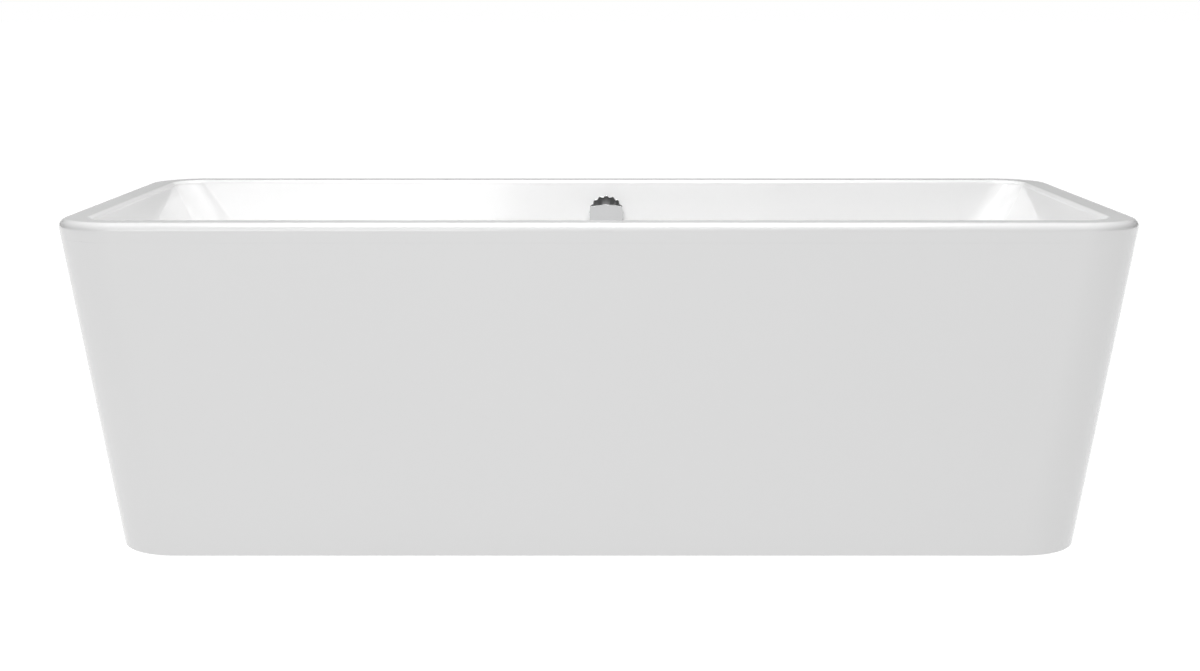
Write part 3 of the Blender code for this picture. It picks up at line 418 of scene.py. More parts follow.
low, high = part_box("basin_shell")
tubShape = {
    "length": high.x - low.x, "width": high.y - low.y, "height": high.z,
    "flangeHeight": high.z - 0.032,     # lower edge of the rim's outer flange
    "widestBelowTop": 0.014,
    "baseHalf": (0.830, 0.343), "cornerRadius": 0.106, "baseCornerRadius": 0.110,
    "shellThickness": 0.006,
}
rimShape = {"width": 0.053, "outerRadius": 0.014, "innerRadius": 0.008, "segments": 10}
basinShape = {
    "floorHeight": 0.140, "floorFall": 0.005, "floorHalf": (0.600, 0.270), "floorCornerRadius": 0.135,
    "coveRadius": 0.080, "coveSteps": 14, "wallRows": 10, "floorRows": 12,
    "recessRadius": 0.043, "wasteHoleRadius": 0.0265, "overflowHoleRadius": 0.021, "cutterHalf": 0.02,
    "recessSteps": [(0.0006, 0.0006), (0.0011, 0.0038), (0.0018, 0.0045)],  # how far in, how far down
}
skirtShape = {"bottom": 0.004, "edge": 0.0008, "gap": 0.00005, "lipGap": 0.0006, "lip": 0.014,
              "thickness": 0.005, "rows": 6}
overflowPlace = Vector(joints["knob_turn"]["pos_m"])
overflowWay = Vector(joints["knob_turn"]["axis"])


def between(start, end, share):
    return start + (end - start) * share


def outerLoop(z, inset=0.0, atZ=None):
    widest = tubShape["height"] - tubShape["widestBelowTop"]
    drop = (widest - z) / widest
    halfX = between(tubShape["length"] / 2, tubShape["baseHalf"][0], drop)
    halfY = between(tubShape["width"] / 2, tubShape["baseHalf"][1], drop)
    radius = between(tubShape["cornerRadius"], tubShape["baseCornerRadius"], drop)
    return halfX - inset, halfY - inset, radius - inset, z if atZ is None else atZ


def innerLoop(z):  # the opening at a height, rounded into the floor by the cove
    topZ = tubShape["height"] - rimShape["innerRadius"]
    floorZ = basinShape["floorHeight"] + basinShape["floorFall"]
    cove = basinShape["coveRadius"]
    halves = []
    straight = []
    for size, floorHalf in zip((tubShape["length"], tubShape["width"]), basinShape["floorHalf"]):
        run = (size / 2 - rimShape["width"] - floorHalf) / (topZ - floorZ)
        arc = math.pi / 2 - math.atan(run)
        rise = z - floorZ
        straight.append(floorHalf + run * rise)
        if rise < cove * (1 - math.cos(arc)):
            start = floorHalf - cove * math.tan(arc / 2)
            halves.append(start + math.sqrt(max(0, cove ** 2 - (cove - rise) ** 2)))
        else:
            halves.append(straight[-1])
    drop = (topZ - z) / (topZ - floorZ)
    topRadius = tubShape["cornerRadius"] - rimShape["width"]
    radius = between(topRadius, basinShape["floorCornerRadius"], drop) - (straight[1] - halves[1])
    return halves[0], halves[1], radius, z


def quarterTurn(steps):
    return [math.pi / 2 * step / steps for step in range(steps + 1)]


def nearRound(radius, z):  # a loop that's all corner, with as many points as the others
    return radius, radius, radius * loopShape["nearRound"], z


def backSkin(piece, thickness):  # gives the skin its thickness, with glass fibre behind
    piece.data.materials.append(acrylic)
    piece.data.materials.append(fibreglass)
    applyModifier(piece, "SOLIDIFY", thickness=thickness, offset=-1, use_even_offset=True,
                  material_offset=1, material_offset_rim=1)


def makeBasin():
    widest = tubShape["height"] - tubShape["widestBelowTop"]
    innerTop = tubShape["height"] - rimShape["innerRadius"]
    floorZ = basinShape["floorHeight"] + basinShape["floorFall"]
    loops = [outerLoop(tubShape["flangeHeight"])]
    for angle in quarterTurn(rimShape["segments"]):
        inset = rimShape["outerRadius"] * (1 - math.cos(angle))
        loops.append(outerLoop(widest, inset, widest + rimShape["outerRadius"] * math.sin(angle)))
    for angle in quarterTurn(rimShape["segments"]):
        inset = rimShape["width"] - rimShape["innerRadius"] * (1 - math.sin(angle))
        loops.append(outerLoop(widest, inset, innerTop + rimShape["innerRadius"] * math.cos(angle)))
    wallTop = len(loops) - 1
    for angle in reversed(quarterTurn(basinShape["coveSteps"])):
        loops.append(innerLoop(floorZ + basinShape["coveRadius"] * (1 - math.cos(angle))))
    floorStart = len(loops) - 1
    floorHeight = basinShape["floorHeight"]
    loops.append(nearRound(basinShape["recessRadius"], floorHeight))
    for inset, drop in basinShape["recessSteps"]:
        loops.append(nearRound(basinShape["recessRadius"] - inset, floorHeight - drop))
    loops.append(nearRound(basinShape["wasteHoleRadius"], floorHeight - drop))
    piece = skinLoops(loops, {wallTop: basinShape["wallRows"], floorStart: basinShape["floorRows"]})
    pointOutwards(piece, weld=0.00002)
    rimFace = max(piece.data.polygons, key=lambda face: face.center.z)
    if rimFace.normal.z < 0:
        piece.data.flip_normals()
    backSkin(piece, tubShape["shellThickness"])
    half = basinShape["cutterHalf"]
    hole = cylinder(basinShape["overflowHoleRadius"], -half, half, 96)
    combine(piece, stand(hole, overflowPlace, overflowWay), "DIFFERENCE")
    finishPiece(piece, "basinShell", "tub", "acrylic", "basin_shell")


def makeSkirt():
    bottom, edge = skirtShape["bottom"], skirtShape["edge"]
    top = tubShape["flangeHeight"] - skirtShape["gap"]
    lipInset = tubShape["shellThickness"] + skirtShape["lipGap"]
    piece = skinLoops([
        outerLoop(bottom + edge, edge, bottom), outerLoop(bottom + edge), outerLoop(top),
        outerLoop(top, lipInset), outerLoop(top, lipInset, top + skirtShape["lip"]),
    ], {1: skirtShape["rows"]})
    pointOutwards(piece)
    side = max(piece.data.polygons, key=lambda face: face.center.x)
    if side.normal.x < 0:
        piece.data.flip_normals()
    backSkin(piece, skirtShape["thickness"])
    finishPiece(piece, "outerSkirt", "tub", "acrylic", "outer_skirt")


makeBasin()
makeSkirt()
print("basin and skirt made")


# overflow knob: a fluted grip, a flat face and a thumb scoop above it

knobShape = {
    "radius": 0.0350, "flutes": 16, "fluteDepth": 0.0026, "scoopRadius": 0.0347, "scoopFlute": 0.0034,
    "back": 0.0070, "gripTop": 0.0125, "faceTop": 0.0190, "faceRadius": 0.0335,
    "archRadius": 0.135, "archRise": 0.0156, "plateDepth": 0.0016, "scoopTilt": math.radians(15),
    "sunk": 0.0010, "edge": 0.0005, "gripEdge": 0.00075, "scoopEdge": 0.00025,
}


def makeKnobFace():  # the front plate ends in an arch, with a sloping scoop beyond it
    sunk = knobShape["sunk"]
    plateLow = knobShape["faceTop"] - knobShape["plateDepth"]
    low = knobShape["gripTop"] - sunk
    archY = knobShape["archRise"] - knobShape["archRadius"]
    plate = cylinder(knobShape["faceRadius"], plateLow - sunk, knobShape["faceTop"], 192)
    arch = cylinder(knobShape["archRadius"], 0, 2 * knobShape["faceTop"], 512, y=archY)
    combine(plate, arch, "INTERSECT")
    wedge = flutedDisc(knobShape["scoopRadius"], plateLow - low, knobShape["flutes"],
                       knobShape["scoopFlute"], knobShape["scoopEdge"])
    stand(wedge, (0, 0, low))
    depth = 2 * (plateLow - low)
    spread = depth / math.tan(knobShape["scoopTilt"])
    clearSelection()
    bpy.ops.mesh.primitive_cone_add(vertices=512, radius1=knobShape["archRadius"] + spread,
                                    radius2=knobShape["archRadius"], depth=depth,
                                    location=(0, archY, plateLow - depth / 2))
    cone = bpy.context.object
    bpy.ops.object.transform_apply(location=True)
    combine(wedge, cone, "INTERSECT")
    softenEdges(plate, knobShape["edge"], angle=30)
    softenEdges(wedge, knobShape["edge"], angle=50)
    return plate, wedge


def makeKnob():
    plate, wedge = makeKnobFace()
    height = knobShape["gripTop"] - knobShape["back"]
    grip = flutedDisc(knobShape["radius"], height, knobShape["flutes"], knobShape["fluteDepth"],
                      knobShape["gripEdge"])
    knob = joinPieces([stand(grip, (0, 0, knobShape["back"])), plate, wedge])
    stand(knob, overflowPlace, overflowWay)
    finishPiece(knob, "overflowKnob", "knob", "chrome", "overflow_knob")


ringShape = {"outer": 0.029, "thick": 0.003, "collar": 0.020, "bore": 0.0165, "depth": 0.022,
             "gap": 0.0003, "edge": 0.0007, "spokeTop": -0.005, "arms": (0.00755, 0.01705)}
spokeShape = {"bore": 0.0046, "hub": 0.0078, "thick": 0.005, "wide": 0.003, "count": 3,
              "hubEdge": 0.0005, "armEdge": 0.0006}


def makeSpokes(top, arms):  # a hub held by three arms, as parts to join
    bore, hub, thick = spokeShape["bore"], spokeShape["hub"], spokeShape["thick"]
    low = top - thick
    parts = [roundShape([(bore, top), (hub, top), (hub, low), (bore, low), (bore, top)], 48,
                        edge=spokeShape["hubEdge"])]
    for number in range(spokeShape["count"]):
        angle = math.pi / 2 + 2 * math.pi * number / spokeShape["count"]
        size = (arms[1] - arms[0], spokeShape["wide"], thick)
        middle = sum(arms) / 2
        at = (middle * math.cos(angle), middle * math.sin(angle), (top + low) / 2)
        parts.append(makeBlock(size, at, spokeShape["armEdge"], angle))
    return parts


def makeOverflowRing():
    outer, collar, bore, back = (ringShape[key] for key in ("outer", "collar", "bore", "gap"))
    front = ringShape["thick"] + back
    deep = -ringShape["depth"]
    ring = roundShape([(bore, front), (bore, deep), (collar, deep), (collar, back), (outer, back),
                       (outer, front), (bore, front)], edge=ringShape["edge"])
    ring = joinPieces([ring, *makeSpokes(ringShape["spokeTop"], ringShape["arms"])])
    stand(ring, overflowPlace, overflowWay)
    finishPiece(ring, "overflowRing", "tub", "chrome", "overflow_collar")


makeKnob()
makeOverflowRing()
print("overflow made")


# waste: flange in the floor's recess and the cap that lifts out of it

wasteShape = {"radius": 0.040, "thick": 0.0025, "bore": 0.0225, "tail": 0.0255, "edge": 0.0010,
              "spokesBelow": 0.005, "arms": (0.00725, 0.02275)}
capShape = {"radius": 0.0340, "rim": 0.0025, "dome": 0.0045, "steps": 10, "edge": 0.0008,
            "socketRadius": 0.0043, "socketDepth": 0.004}


def makeWasteFlange():
    low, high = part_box("waste_flange")
    seat = high.z - wasteShape["thick"]
    bore, tail, radius = (wasteShape[key] for key in ("bore", "tail", "radius"))
    flange = roundShape([(bore, high.z), (bore, low.z), (tail, low.z), (tail, seat), (radius, seat),
                         (radius, high.z), (bore, high.z)], 128, edge=wasteShape["edge"])
    flange = joinPieces([flange, *makeSpokes(seat - wasteShape["spokesBelow"], wasteShape["arms"])])
    finishPiece(flange, "wasteFlange", "tub", "chrome", "waste_flange")


def makePlugCap():
    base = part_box("plug_cap")[0].z
    radius, edge, socket = (capShape[key] for key in ("radius", "edge", "socketRadius"))
    profile = [(socket, base + capShape["socketDepth"]), (socket, base), (radius - edge, base),
               (radius, base + edge)]
    for angle in quarterTurn(capShape["steps"])[:-1]:
        rise = capShape["rim"] + capShape["dome"] * math.sin(angle)
        profile.append((radius * math.cos(angle), base + rise))
    cap = roundShape(profile, 128, solid=True)
    finishPiece(cap, "plugCap", "plug", "chrome", "plug_cap")


makeWasteFlange()
makePlugCap()
print("waste made")


# welded frame: square tubes with rounded corners, bored where rods and screws pass

tubeShape = {
    "wall": 0.002, "corner": 0.0032, "rodHole": 0.0068, "screwHole": 0.0033,
    "beads": 9, "beadRadius": 0.0022, "beadStep": 0.0030, "beadScale": (1.0, 1.15, 0.85),
}
footSides = ["front_left", "front_right", "back_left", "back_right", "centre"]


def makeTube(node, name, holes, holeRadius, beads=()):
    low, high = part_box(node)
    size = high - low
    half = min(size) / 2
    length = max(size)
    loop = (half, half, tubeShape["corner"])
    tube = skinLoops([(*loop, -length / 2), (*loop, length / 2)])
    pointOutwards(tube)
    applyModifier(tube, "SOLIDIFY", thickness=tubeShape["wall"], offset=-1, use_even_offset=True)
    stand(tube, nodeMiddle(node), (1, 0, 0) if size.x > size.y else (0, 1, 0))
    for x, y in holes:
        combine(tube, cylinder(holeRadius, low.z - half, high.z + half, 32, x, y), "DIFFERENCE")
    parts = [tube, *(makeBead(x, y, high.z) for x, y in beads)]
    finishPiece(joinPieces(parts), name, "tub", "zinc_steel", node)


def makeBead(x, y, z):  # a weld run along X
    clearSelection()
    bpy.ops.mesh.primitive_uv_sphere_add(segments=16, ring_count=8, radius=tubeShape["beadRadius"])
    bead = bpy.context.object
    edit(bead)
    bpy.ops.transform.resize(value=tubeShape["beadScale"])
    bpy.ops.object.mode_set(mode="OBJECT")
    applyModifier(bead, "ARRAY", count=tubeShape["beads"], use_relative_offset=False,
                  use_constant_offset=True, constant_offset_displace=(tubeShape["beadStep"], 0, 0))
    return stand(bead, (x - tubeShape["beadStep"] * (tubeShape["beads"] - 1) / 2, y, z))


def makeFrame():
    screws = [nodeMiddle(f"board_screw_{number}") for number in range(1, 5)]
    feet = [nodeMiddle(f"foot_rod_{side}") for side in footSides]
    railEdges = []
    for side in ("front", "back"):
        low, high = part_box(f"frame_rail_{side}")
        railEdges += [low.y, high.y]
        holes = [(at.x, at.y) for at in screws if low.y < at.y < high.y]
        makeTube(f"frame_rail_{side}", f"{side}Rail", holes, tubeShape["screwHole"])
    for side in ("left", "right", "centre"):
        low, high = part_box(f"frame_crossbar_{side}")
        holes = [(at.x, at.y) for at in feet if low.x < at.x < high.x]
        beads = [((low.x + high.x) / 2, y) for y in railEdges]
        makeTube(f"frame_crossbar_{side}", f"{side}Crossbar", holes, tubeShape["rodHole"], beads)


makeFrame()
print("frame made")


# screw feet: a threaded rod in a plastic pad, with a nut on each side of the crossbar

rodShape = {"radius": 0.0060, "root": 0.0049, "pitch": 0.00175, "steps": 20, "chamfer": 0.0011,
            "ridgeSunk": 0.0004, "ridgeHalf": 0.55}     # half the ridge's foot, as a share of the pitch
padShape = {
    "socket": 0.0066, "socketFloor": 0.0050, "neck": 0.0120, "top": 0.0240, "high": 0.0120,
    "edge": 0.0020, "round": 0.0008, "ribs": 6, "ribReach": 0.0222, "ribThick": 0.0022,
    "ribTop": 0.0205, "ribLow": 0.003, "ribEdge": 0.0002,
    "ribStart": 0.0102, "wider": 0.0005,      # radius where a rib starts, and the pad's past its node
}
nutShape = {"drop": 0.0012, "bore": 0.0066, "faceShare": 0.96}


def makeThread(length):
    root, radius, pitch = rodShape["root"], rodShape["radius"], rodShape["pitch"]
    clearSelection()
    bpy.ops.mesh.primitive_circle_add(vertices=3, radius=radius)
    ridge = bpy.context.object
    edit(ridge)
    foot, half = root - rodShape["ridgeSunk"], pitch * rodShape["ridgeHalf"]
    corners = [(foot, -half), (radius, 0), (foot, half)]
    for point, (x, z) in zip(bmesh.from_edit_mesh(ridge.data).verts, corners):
        point.co = (x, 0, z)
    turns = int(length / pitch) - 1
    applyModifier(ridge, "SCREW", axis="Z", screw_offset=pitch, iterations=turns,
                  use_merge_vertices=False, steps=rodShape["steps"], render_steps=rodShape["steps"])
    closeEnds(ridge)
    return stand(ridge, (0, 0, (length - turns * pitch) / 2))


def makeRod(side):
    low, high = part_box(f"foot_rod_{side}")
    length = high.z - low.z
    root, bevel = rodShape["root"], rodShape["chamfer"]
    core = roundShape([(root - bevel, 0), (root, bevel), (root, length - bevel), (root - bevel, length)],
                      48, solid=True)
    middle = nodeMiddle(f"foot_rod_{side}")
    rod = stand(joinPieces([core, makeThread(length)]), (middle.x, middle.y, low.z))
    finishPiece(rod, f"{side}FootRod", f"foot_rod_{side}_body", "zinc_steel", f"foot_rod_{side}")


def makePadRib(angle):  # a bar across the pad, sloped at both ends and cut out round the neck
    neck, reach, top = padShape["neck"], padShape["ribReach"], padShape["ribTop"]
    size = (2 * reach, padShape["ribThick"], padShape["top"])
    rib = makeBlock(size, (0, 0, padShape["top"] / 2), padShape["ribEdge"], angle)
    slope = roundShape([(reach, padShape["ribLow"]), (reach, padShape["high"] / 2), (neck, top),
                        (neck / 2, top)], 48, solid=True)
    combine(rib, slope, "INTERSECT")
    return combine(rib, cylinder(padShape["ribStart"], -top, 2 * top, 48), "DIFFERENCE")


def makePad(side):
    node = f"foot_pad_{side}"
    low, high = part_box(node)
    radius = (high.y - low.y) / 2 + padShape["wider"]
    edge, neck, socket, top = (padShape[key] for key in ("edge", "neck", "socket", "top"))
    pad = roundShape([
        (socket, padShape["socketFloor"]), (socket, top), (neck, top), (neck + edge, padShape["high"]),
        (radius, padShape["high"] / 2), (radius, edge), (radius - edge, 0),
    ], 96, solid=True)
    softenEdges(pad, padShape["round"], angle=25)
    count = padShape["ribs"]
    ribs = [makePadRib(2 * math.pi * number / count) for number in range(count // 2)]
    middle = nodeMiddle(node)
    pad = stand(joinPieces([pad, *ribs]), (middle.x, middle.y, 0))
    finishPiece(pad, f"{side}FootPad", f"foot_pad_{side}_body", "black_plastic", node)


def makeNut(node, name):
    low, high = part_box(node)
    corner, face = (high.y - low.y) / 2, (high.x - low.x) / 2 * nutShape["faceShare"]
    height, drop = high.z - low.z, nutShape["drop"]
    nut = cylinder(corner, 0, height, 6)
    combine(nut, roundShape([(face, 0), (corner, drop), (corner, height - drop), (face, height)],
                            72, solid=True), "INTERSECT")
    combine(nut, cylinder(nutShape["bore"], -height, 2 * height, 48), "DIFFERENCE")
    middle = nodeMiddle(node)
    stand(nut, (middle.x, middle.y, low.z))
    finishPiece(nut, name, "tub", "zinc_steel", node, smoothAngle=25)


for footSide in footSides:
    makePad(footSide)
    makeRod(footSide)
    makeNut(f"foot_lock_nut_{footSide}", f"{footSide}LockNut")
    makeNut(f"foot_weld_nut_{footSide}", f"{footSide}WeldNut")
print("feet made")


# overflow hose, control cable, and the nuts that hold them

overflowDown = Vector((0, -overflowWay.z, overflowWay.y))
hoseShape = {
    "crest": 0.0149, "root": 0.0128, "pitch": 0.0052, "wall": 0.0009, "count": 36, "cuff": 0.020,
    "stub": 0.0523, "back": 0.028, "reach": 0.0703, "height": 0.066, "cuffEdge": 0.0005,
    "lead": (0.016, 0.024),     # where the ribbed length starts, and the straight that it starts with
    "ridge": (0.3, 0.45, 0.85),     # shares of the pitch where a rib starts, crests and ends
    "route": [(0.013, 0.340, 0.370), (0.011, 0.322, 0.270), (0.008, 0.302, 0.175),
              (0.004, 0.262, 0.100), (0.0, 0.195, 0.068), (0.0, 0.130, 0.066)],
}


def sweepAlong(piece, points):  # bends a piece made along Z so that it fills the whole path
    clearSelection()
    bpy.ops.curve.primitive_bezier_curve_add()
    path = bpy.context.object
    bpy.ops.object.mode_set(mode="EDIT")
    bpy.ops.curve.select_all(action="SELECT")
    bpy.ops.curve.subdivide(number_cuts=len(points) - 2)
    bpy.ops.curve.handle_type_set(type="AUTOMATIC")
    bpy.ops.object.mode_set(mode="OBJECT")
    path.location = (0, 0, 0)
    path.data.resolution_u = 24
    path.data.use_stretch = True
    path.data.use_deform_bounds = True
    for knot, place in zip(path.data.splines[0].bezier_points, points):
        knot.co = place
    for knot in path.data.splines[0].bezier_points:
        knot.handle_left_type = knot.handle_right_type = "AUTO"
    applyModifier(piece, "CURVE", object=path, deform_axis="POS_Z")
    bpy.data.objects.remove(path, do_unlink=True)
    return piece


def pathLength(points):
    return sum((Vector(b) - Vector(a)).length for a, b in zip(points, points[1:]))


def repeatAlong(profile, pitch, wall, count, points):
    piece = roundShape(profile, count)
    applyModifier(piece, "ARRAY", count=round(pathLength(points) / pitch), use_relative_offset=False,
                  use_constant_offset=True, constant_offset_displace=(0, 0, pitch),
                  use_merge_vertices=True, merge_threshold=0.00005)
    if wall:
        applyModifier(piece, "SOLIDIFY", thickness=wall, offset=-1, use_even_offset=True)
    return sweepAlong(piece, points)


def makeHose():
    crest, root, pitch, cuff = (hoseShape[key] for key in ("crest", "root", "pitch", "cuff"))
    start = overflowPlace + overflowDown * hoseShape["stub"] - overflowWay * hoseShape["back"]
    end = Vector((0, hoseShape["reach"], hoseShape["height"]))
    inward = Vector((0, 1, 0))
    near, far = hoseShape["lead"]
    points = [start + overflowDown * near, start + overflowDown * far, *hoseShape["route"],
              end + inward * far, end + inward * near]
    foot, rise, fall = (pitch * share for share in hoseShape["ridge"])
    profile = [(root, 0), (root, foot), (crest, rise), (crest, fall), (root, pitch)]
    hose = repeatAlong(profile, pitch, hoseShape["wall"], hoseShape["count"], points)
    ring = [(root, 0), (crest, 0), (crest, cuff), (root, cuff), (root, 0)]
    cuffs = [stand(roundShape(ring, 48, edge=hoseShape["cuffEdge"]), place, way)
             for place, way in ((start, overflowDown), (end, inward))]
    finishPiece(joinPieces([hose, *cuffs]), "overflowHose", "tub", "white_plastic",
                "overflow_pipe")


makeHose()
print("hose made")


cableShape = {
    "radius": 0.0026, "pitch": 0.006, "back": 0.028, "bossReach": 0.0403, "wasteReach": 0.0503,
    "height": 0.052, "lead": 0.012, "count": 20,
    "route": [(-0.078, 0.362, 0.492), (-0.104, 0.350, 0.430), (-0.112, 0.328, 0.300),
              (-0.118, 0.302, 0.175), (-0.128, 0.255, 0.090), (-0.142, 0.170, 0.060),
              (-0.142, 0.070, 0.054), (-0.115, 0.014, 0.052)],
}
gripNutShapes = {
    "pipe": {"inner": 0.0156, "outer": 0.0198, "length": 0.022, "lip": 0.0156, "lipThick": 0.0,
             "flutes": 18, "depth": 0.0009},
    "cable": {"inner": 0.0071, "outer": 0.0101, "length": 0.012, "lip": 0.0032, "lipThick": 0.0057,
              "flutes": 12, "depth": 0.0007},
    "outlet": {"inner": 0.0248, "outer": 0.0298, "length": 0.026, "lip": 0.0203, "lipThick": 0.004,
               "flutes": 24, "depth": 0.0010},
}


def makeCable():
    start = overflowPlace - overflowWay * cableShape["back"] + Vector((-cableShape["bossReach"], 0, 0))
    end = Vector((-cableShape["wasteReach"], 0, cableShape["height"]))
    lead = Vector((-cableShape["lead"], 0, 0))
    radius, pitch = cableShape["radius"], cableShape["pitch"]
    points = [start, start + lead, *cableShape["route"], end + lead, end]
    cable = repeatAlong([(radius, 0), (radius, pitch)], pitch, 0, cableShape["count"], points)
    closeEnds(cable)
    finishPiece(cable, "controlCable", "tub", "black_plastic", "control_cable")


def makeGripNut(node, name, shape, way):
    length = shape["length"]
    nut = flutedDisc(shape["outer"], length, shape["flutes"], shape["depth"], edge=0.0005)
    combine(nut, cylinder(shape["lip"], -length, 2 * length, 96), "DIFFERENCE")
    if shape["lipThick"]:
        combine(nut, cylinder(shape["inner"], -length, length - shape["lipThick"], 96), "DIFFERENCE")
    stand(nut, nodeMiddle(node) - Vector(way) * length / 2, way)
    finishPiece(nut, name, "tub", "black_plastic", node)


makeCable()
makeGripNut("pipe_nut_overflow", "hoseNutTop", gripNutShapes["pipe"], overflowDown)
makeGripNut("pipe_nut_waste", "hoseNutBottom", gripNutShapes["pipe"], (0, -1, 0))
makeGripNut("cable_nut_overflow", "cableNutTop", gripNutShapes["cable"], (-1, 0, 0))
makeGripNut("cable_nut_waste", "cableNutBottom", gripNutShapes["cable"], (-1, 0, 0))
makeGripNut("outlet_nut", "outletNut", gripNutShapes["outlet"], (0, -1, 0))
print("cable and nuts made")


# housings of the waste and the overflow, with the rings and pipe that seat in them

wasteBodyShape = {
    "radius": 0.0311, "flange": 0.0420, "flangeThick": 0.004, "bore": 0.0261, "floor": 0.005,
    "ribs": 8, "ribSize": (0.011, 0.0022, 0.012), "ribAt": 0.0345, "ribSunk": 0.0005, "edge": 0.0005,
    # way, height, outer radius, bore radius, reach from the axis
    "stubs": [((0, 1, 0), 0.066, 0.0150, 0.0120, 0.070), ((0, -1, 0), 0.062, 0.0245, 0.0205, 0.065),
              ((-1, 0, 0), 0.052, 0.0065, 0.0029, 0.050)],
    "lug": (0.010, 0.003, 0.0225), "lugAt": (-0.012688, 0.0046, 0.04975), "pinHole": 0.0021,
    "pinHeight": 0.056, "flangeEdge": 0.0008,
}
cupShape = {
    "radius": 0.0236, "flange": 0.0300, "flangeThick": 0.004, "bore": 0.0206, "front": -0.0096,
    "depth": 0.034, "floor": 0.003, "flangeEdge": 0.0008,
    "stubs": [((0, -1, 0), -0.028, 0.0150, 0.0120, 0.052), ((-1, 0, 0), -0.028, 0.0065, 0.0029, 0.040)],
}
# name, inner and outer radius, lower face, thickness and body of each node's ring
ringShapes = {
    "overflow_gasket": ("overflowGasket", 0.0212, 0.0300, -0.0093, 0.0030, "tub"),
    "waste_gasket_top": ("wasteGasketTop", 0.0266, 0.0370, 0.1358, 0.0012, "tub"),
    "waste_gasket_bottom": ("wasteGasketBottom", 0.0266, 0.0390, 0.1262, 0.0030, "tub"),
    "plug_seal": ("plugSeal", 0.0043, 0.0300, 0.1401, 0.0025, "plug"),
}
tailShape = {"inner": 0.018, "outer": 0.020, "length": 0.150, "start": -0.047, "height": 0.062}


def makeHousing(shape, low, high):  # a flanged cup with hollow stubs
    thick, radius, flange = (shape[key] for key in ("flangeThick", "radius", "flange"))
    cup = roundShape([(radius, low), (radius, high - thick), (flange, high - thick), (flange, high)],
                     96, solid=True)
    softenEdges(cup, shape["flangeEdge"])
    for way, height, outer, bore, reach in shape["stubs"]:
        combine(cup, stand(cylinder(outer, 0, reach, 64), (0, 0, height), way), "UNION")
    combine(cup, cylinder(shape["bore"], low + shape["floor"], high + thick, 96), "DIFFERENCE")
    for way, height, outer, bore, reach in shape["stubs"]:
        combine(cup, stand(cylinder(bore, 0, 2 * reach, 64), (0, 0, height), way), "DIFFERENCE")
    return cup


def makeWasteBody():
    low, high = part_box("waste_body")
    edge, out, count = (wasteBodyShape[key] for key in ("edge", "ribAt", "ribs"))
    parts = [makeHousing(wasteBodyShape, low.z, high.z)]
    size = wasteBodyShape["ribSize"]
    ribZ = high.z - wasteBodyShape["flangeThick"] - size[2] / 2 + wasteBodyShape["ribSunk"]
    for number in range(count):
        angle = 2 * math.pi * (number + 0.5) / count
        parts.append(makeBlock(size, (out * math.cos(angle), out * math.sin(angle), ribZ), edge, angle))
    x, y, z = wasteBodyShape["lugAt"]
    for side in (-1, 1):
        lug = makeBlock(wasteBodyShape["lug"], (x, side * y, z), edge)
        hole = cylinder(wasteBodyShape["pinHole"], -y, y, 32)
        stand(hole, (x, side * y, wasteBodyShape["pinHeight"]), (0, 1, 0))
        parts.append(combine(lug, hole, "DIFFERENCE"))
    finishPiece(joinPieces(parts), "wasteBody", "tub", "black_plastic", "waste_body")


def makeOverflowBody():
    body = makeHousing(cupShape, cupShape["front"] - cupShape["depth"], cupShape["front"])
    stand(body, overflowPlace, overflowWay)
    finishPiece(body, "overflowBody", "tub", "black_plastic", "overflow_body")


def makeRings():
    for node, (name, inner, outer, low, thick, body) in ringShapes.items():
        high = low + thick
        profile = [(inner, low), (outer, low), (outer, high), (inner, high), (inner, low)]
        ring = roundShape(profile, edge=0.0004)
        if node == "overflow_gasket":
            stand(ring, overflowPlace, overflowWay)
        finishPiece(ring, name, body, "rubber", node)


def makeTailpipe():
    inner, outer, length = tailShape["inner"], tailShape["outer"], tailShape["length"]
    pipe = roundShape([(inner, 0), (outer, 0), (outer, length), (inner, length), (inner, 0)], edge=0.0005)
    stand(pipe, (0, tailShape["start"], tailShape["height"]), (0, -1, 0))
    finishPiece(pipe, "tailPipe", "tub", "chrome", "tailpipe")


makeWasteBody()
makeOverflowBody()
makeRings()
makeTailpipe()
print("housings made")


# small fittings of the frame: plugs in the crossbars' ends and screws into the board

endCapShape = {"thick": 0.006, "plugSide": 0.0254, "plugShorter": 0.002, "edge": 0.0012}
screwShape = {"head": 0.0060, "headThick": 0.0035, "shank": 0.0030, "chamfer": 0.0020, "slot": 0.0070,
              "slotWide": 0.0013, "slotDeep": 0.0016, "slotEdge": 0.0001, "tip": 0.0003}


def makeEndCap(side):
    node = f"crossbar_end_cap_{side}"
    low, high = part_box(node)
    size, middle = high - low, nodeMiddle(node)
    outward = math.copysign(1, middle.y)
    thick, wide, edge = (endCapShape[key] for key in ("thick", "plugSide", "edge"))
    shorter = endCapShape["plugShorter"]
    plateY = middle.y + outward * (size.y - thick) / 2
    plate = makeBlock((size.x, thick, size.z), (middle.x, plateY, middle.z), edge)
    plugY = middle.y - outward * shorter / 2
    plug = makeBlock((wide, size.y - shorter, wide), (middle.x, plugY, middle.z), edge)
    finishPiece(joinPieces([plate, plug]), f"{side}EndCap", "tub", "black_plastic", node)


def makeBoardScrew(number):
    node = f"board_screw_{number}"
    low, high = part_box(node)
    head, thick, shank, bevel = (screwShape[key] for key in ("head", "headThick", "shank", "chamfer"))
    length = high.z - low.z
    screw = roundShape([(head - bevel, 0), (head, bevel), (head, thick), (shank, thick),
                        (shank, length - shank), (screwShape["tip"], length)], 48, solid=True)
    slotSize = (screwShape["slot"], screwShape["slotWide"])
    for size in (slotSize, slotSize[::-1]):
        slot = makeBlock((*size, screwShape["slotDeep"] * 2), (0, 0, 0), screwShape["slotEdge"])
        combine(screw, slot, "DIFFERENCE")
    middle = nodeMiddle(node)
    stand(screw, (middle.x, middle.y, low.z))
    finishPiece(screw, f"boardScrew{number}", "tub", "zinc_steel", node)


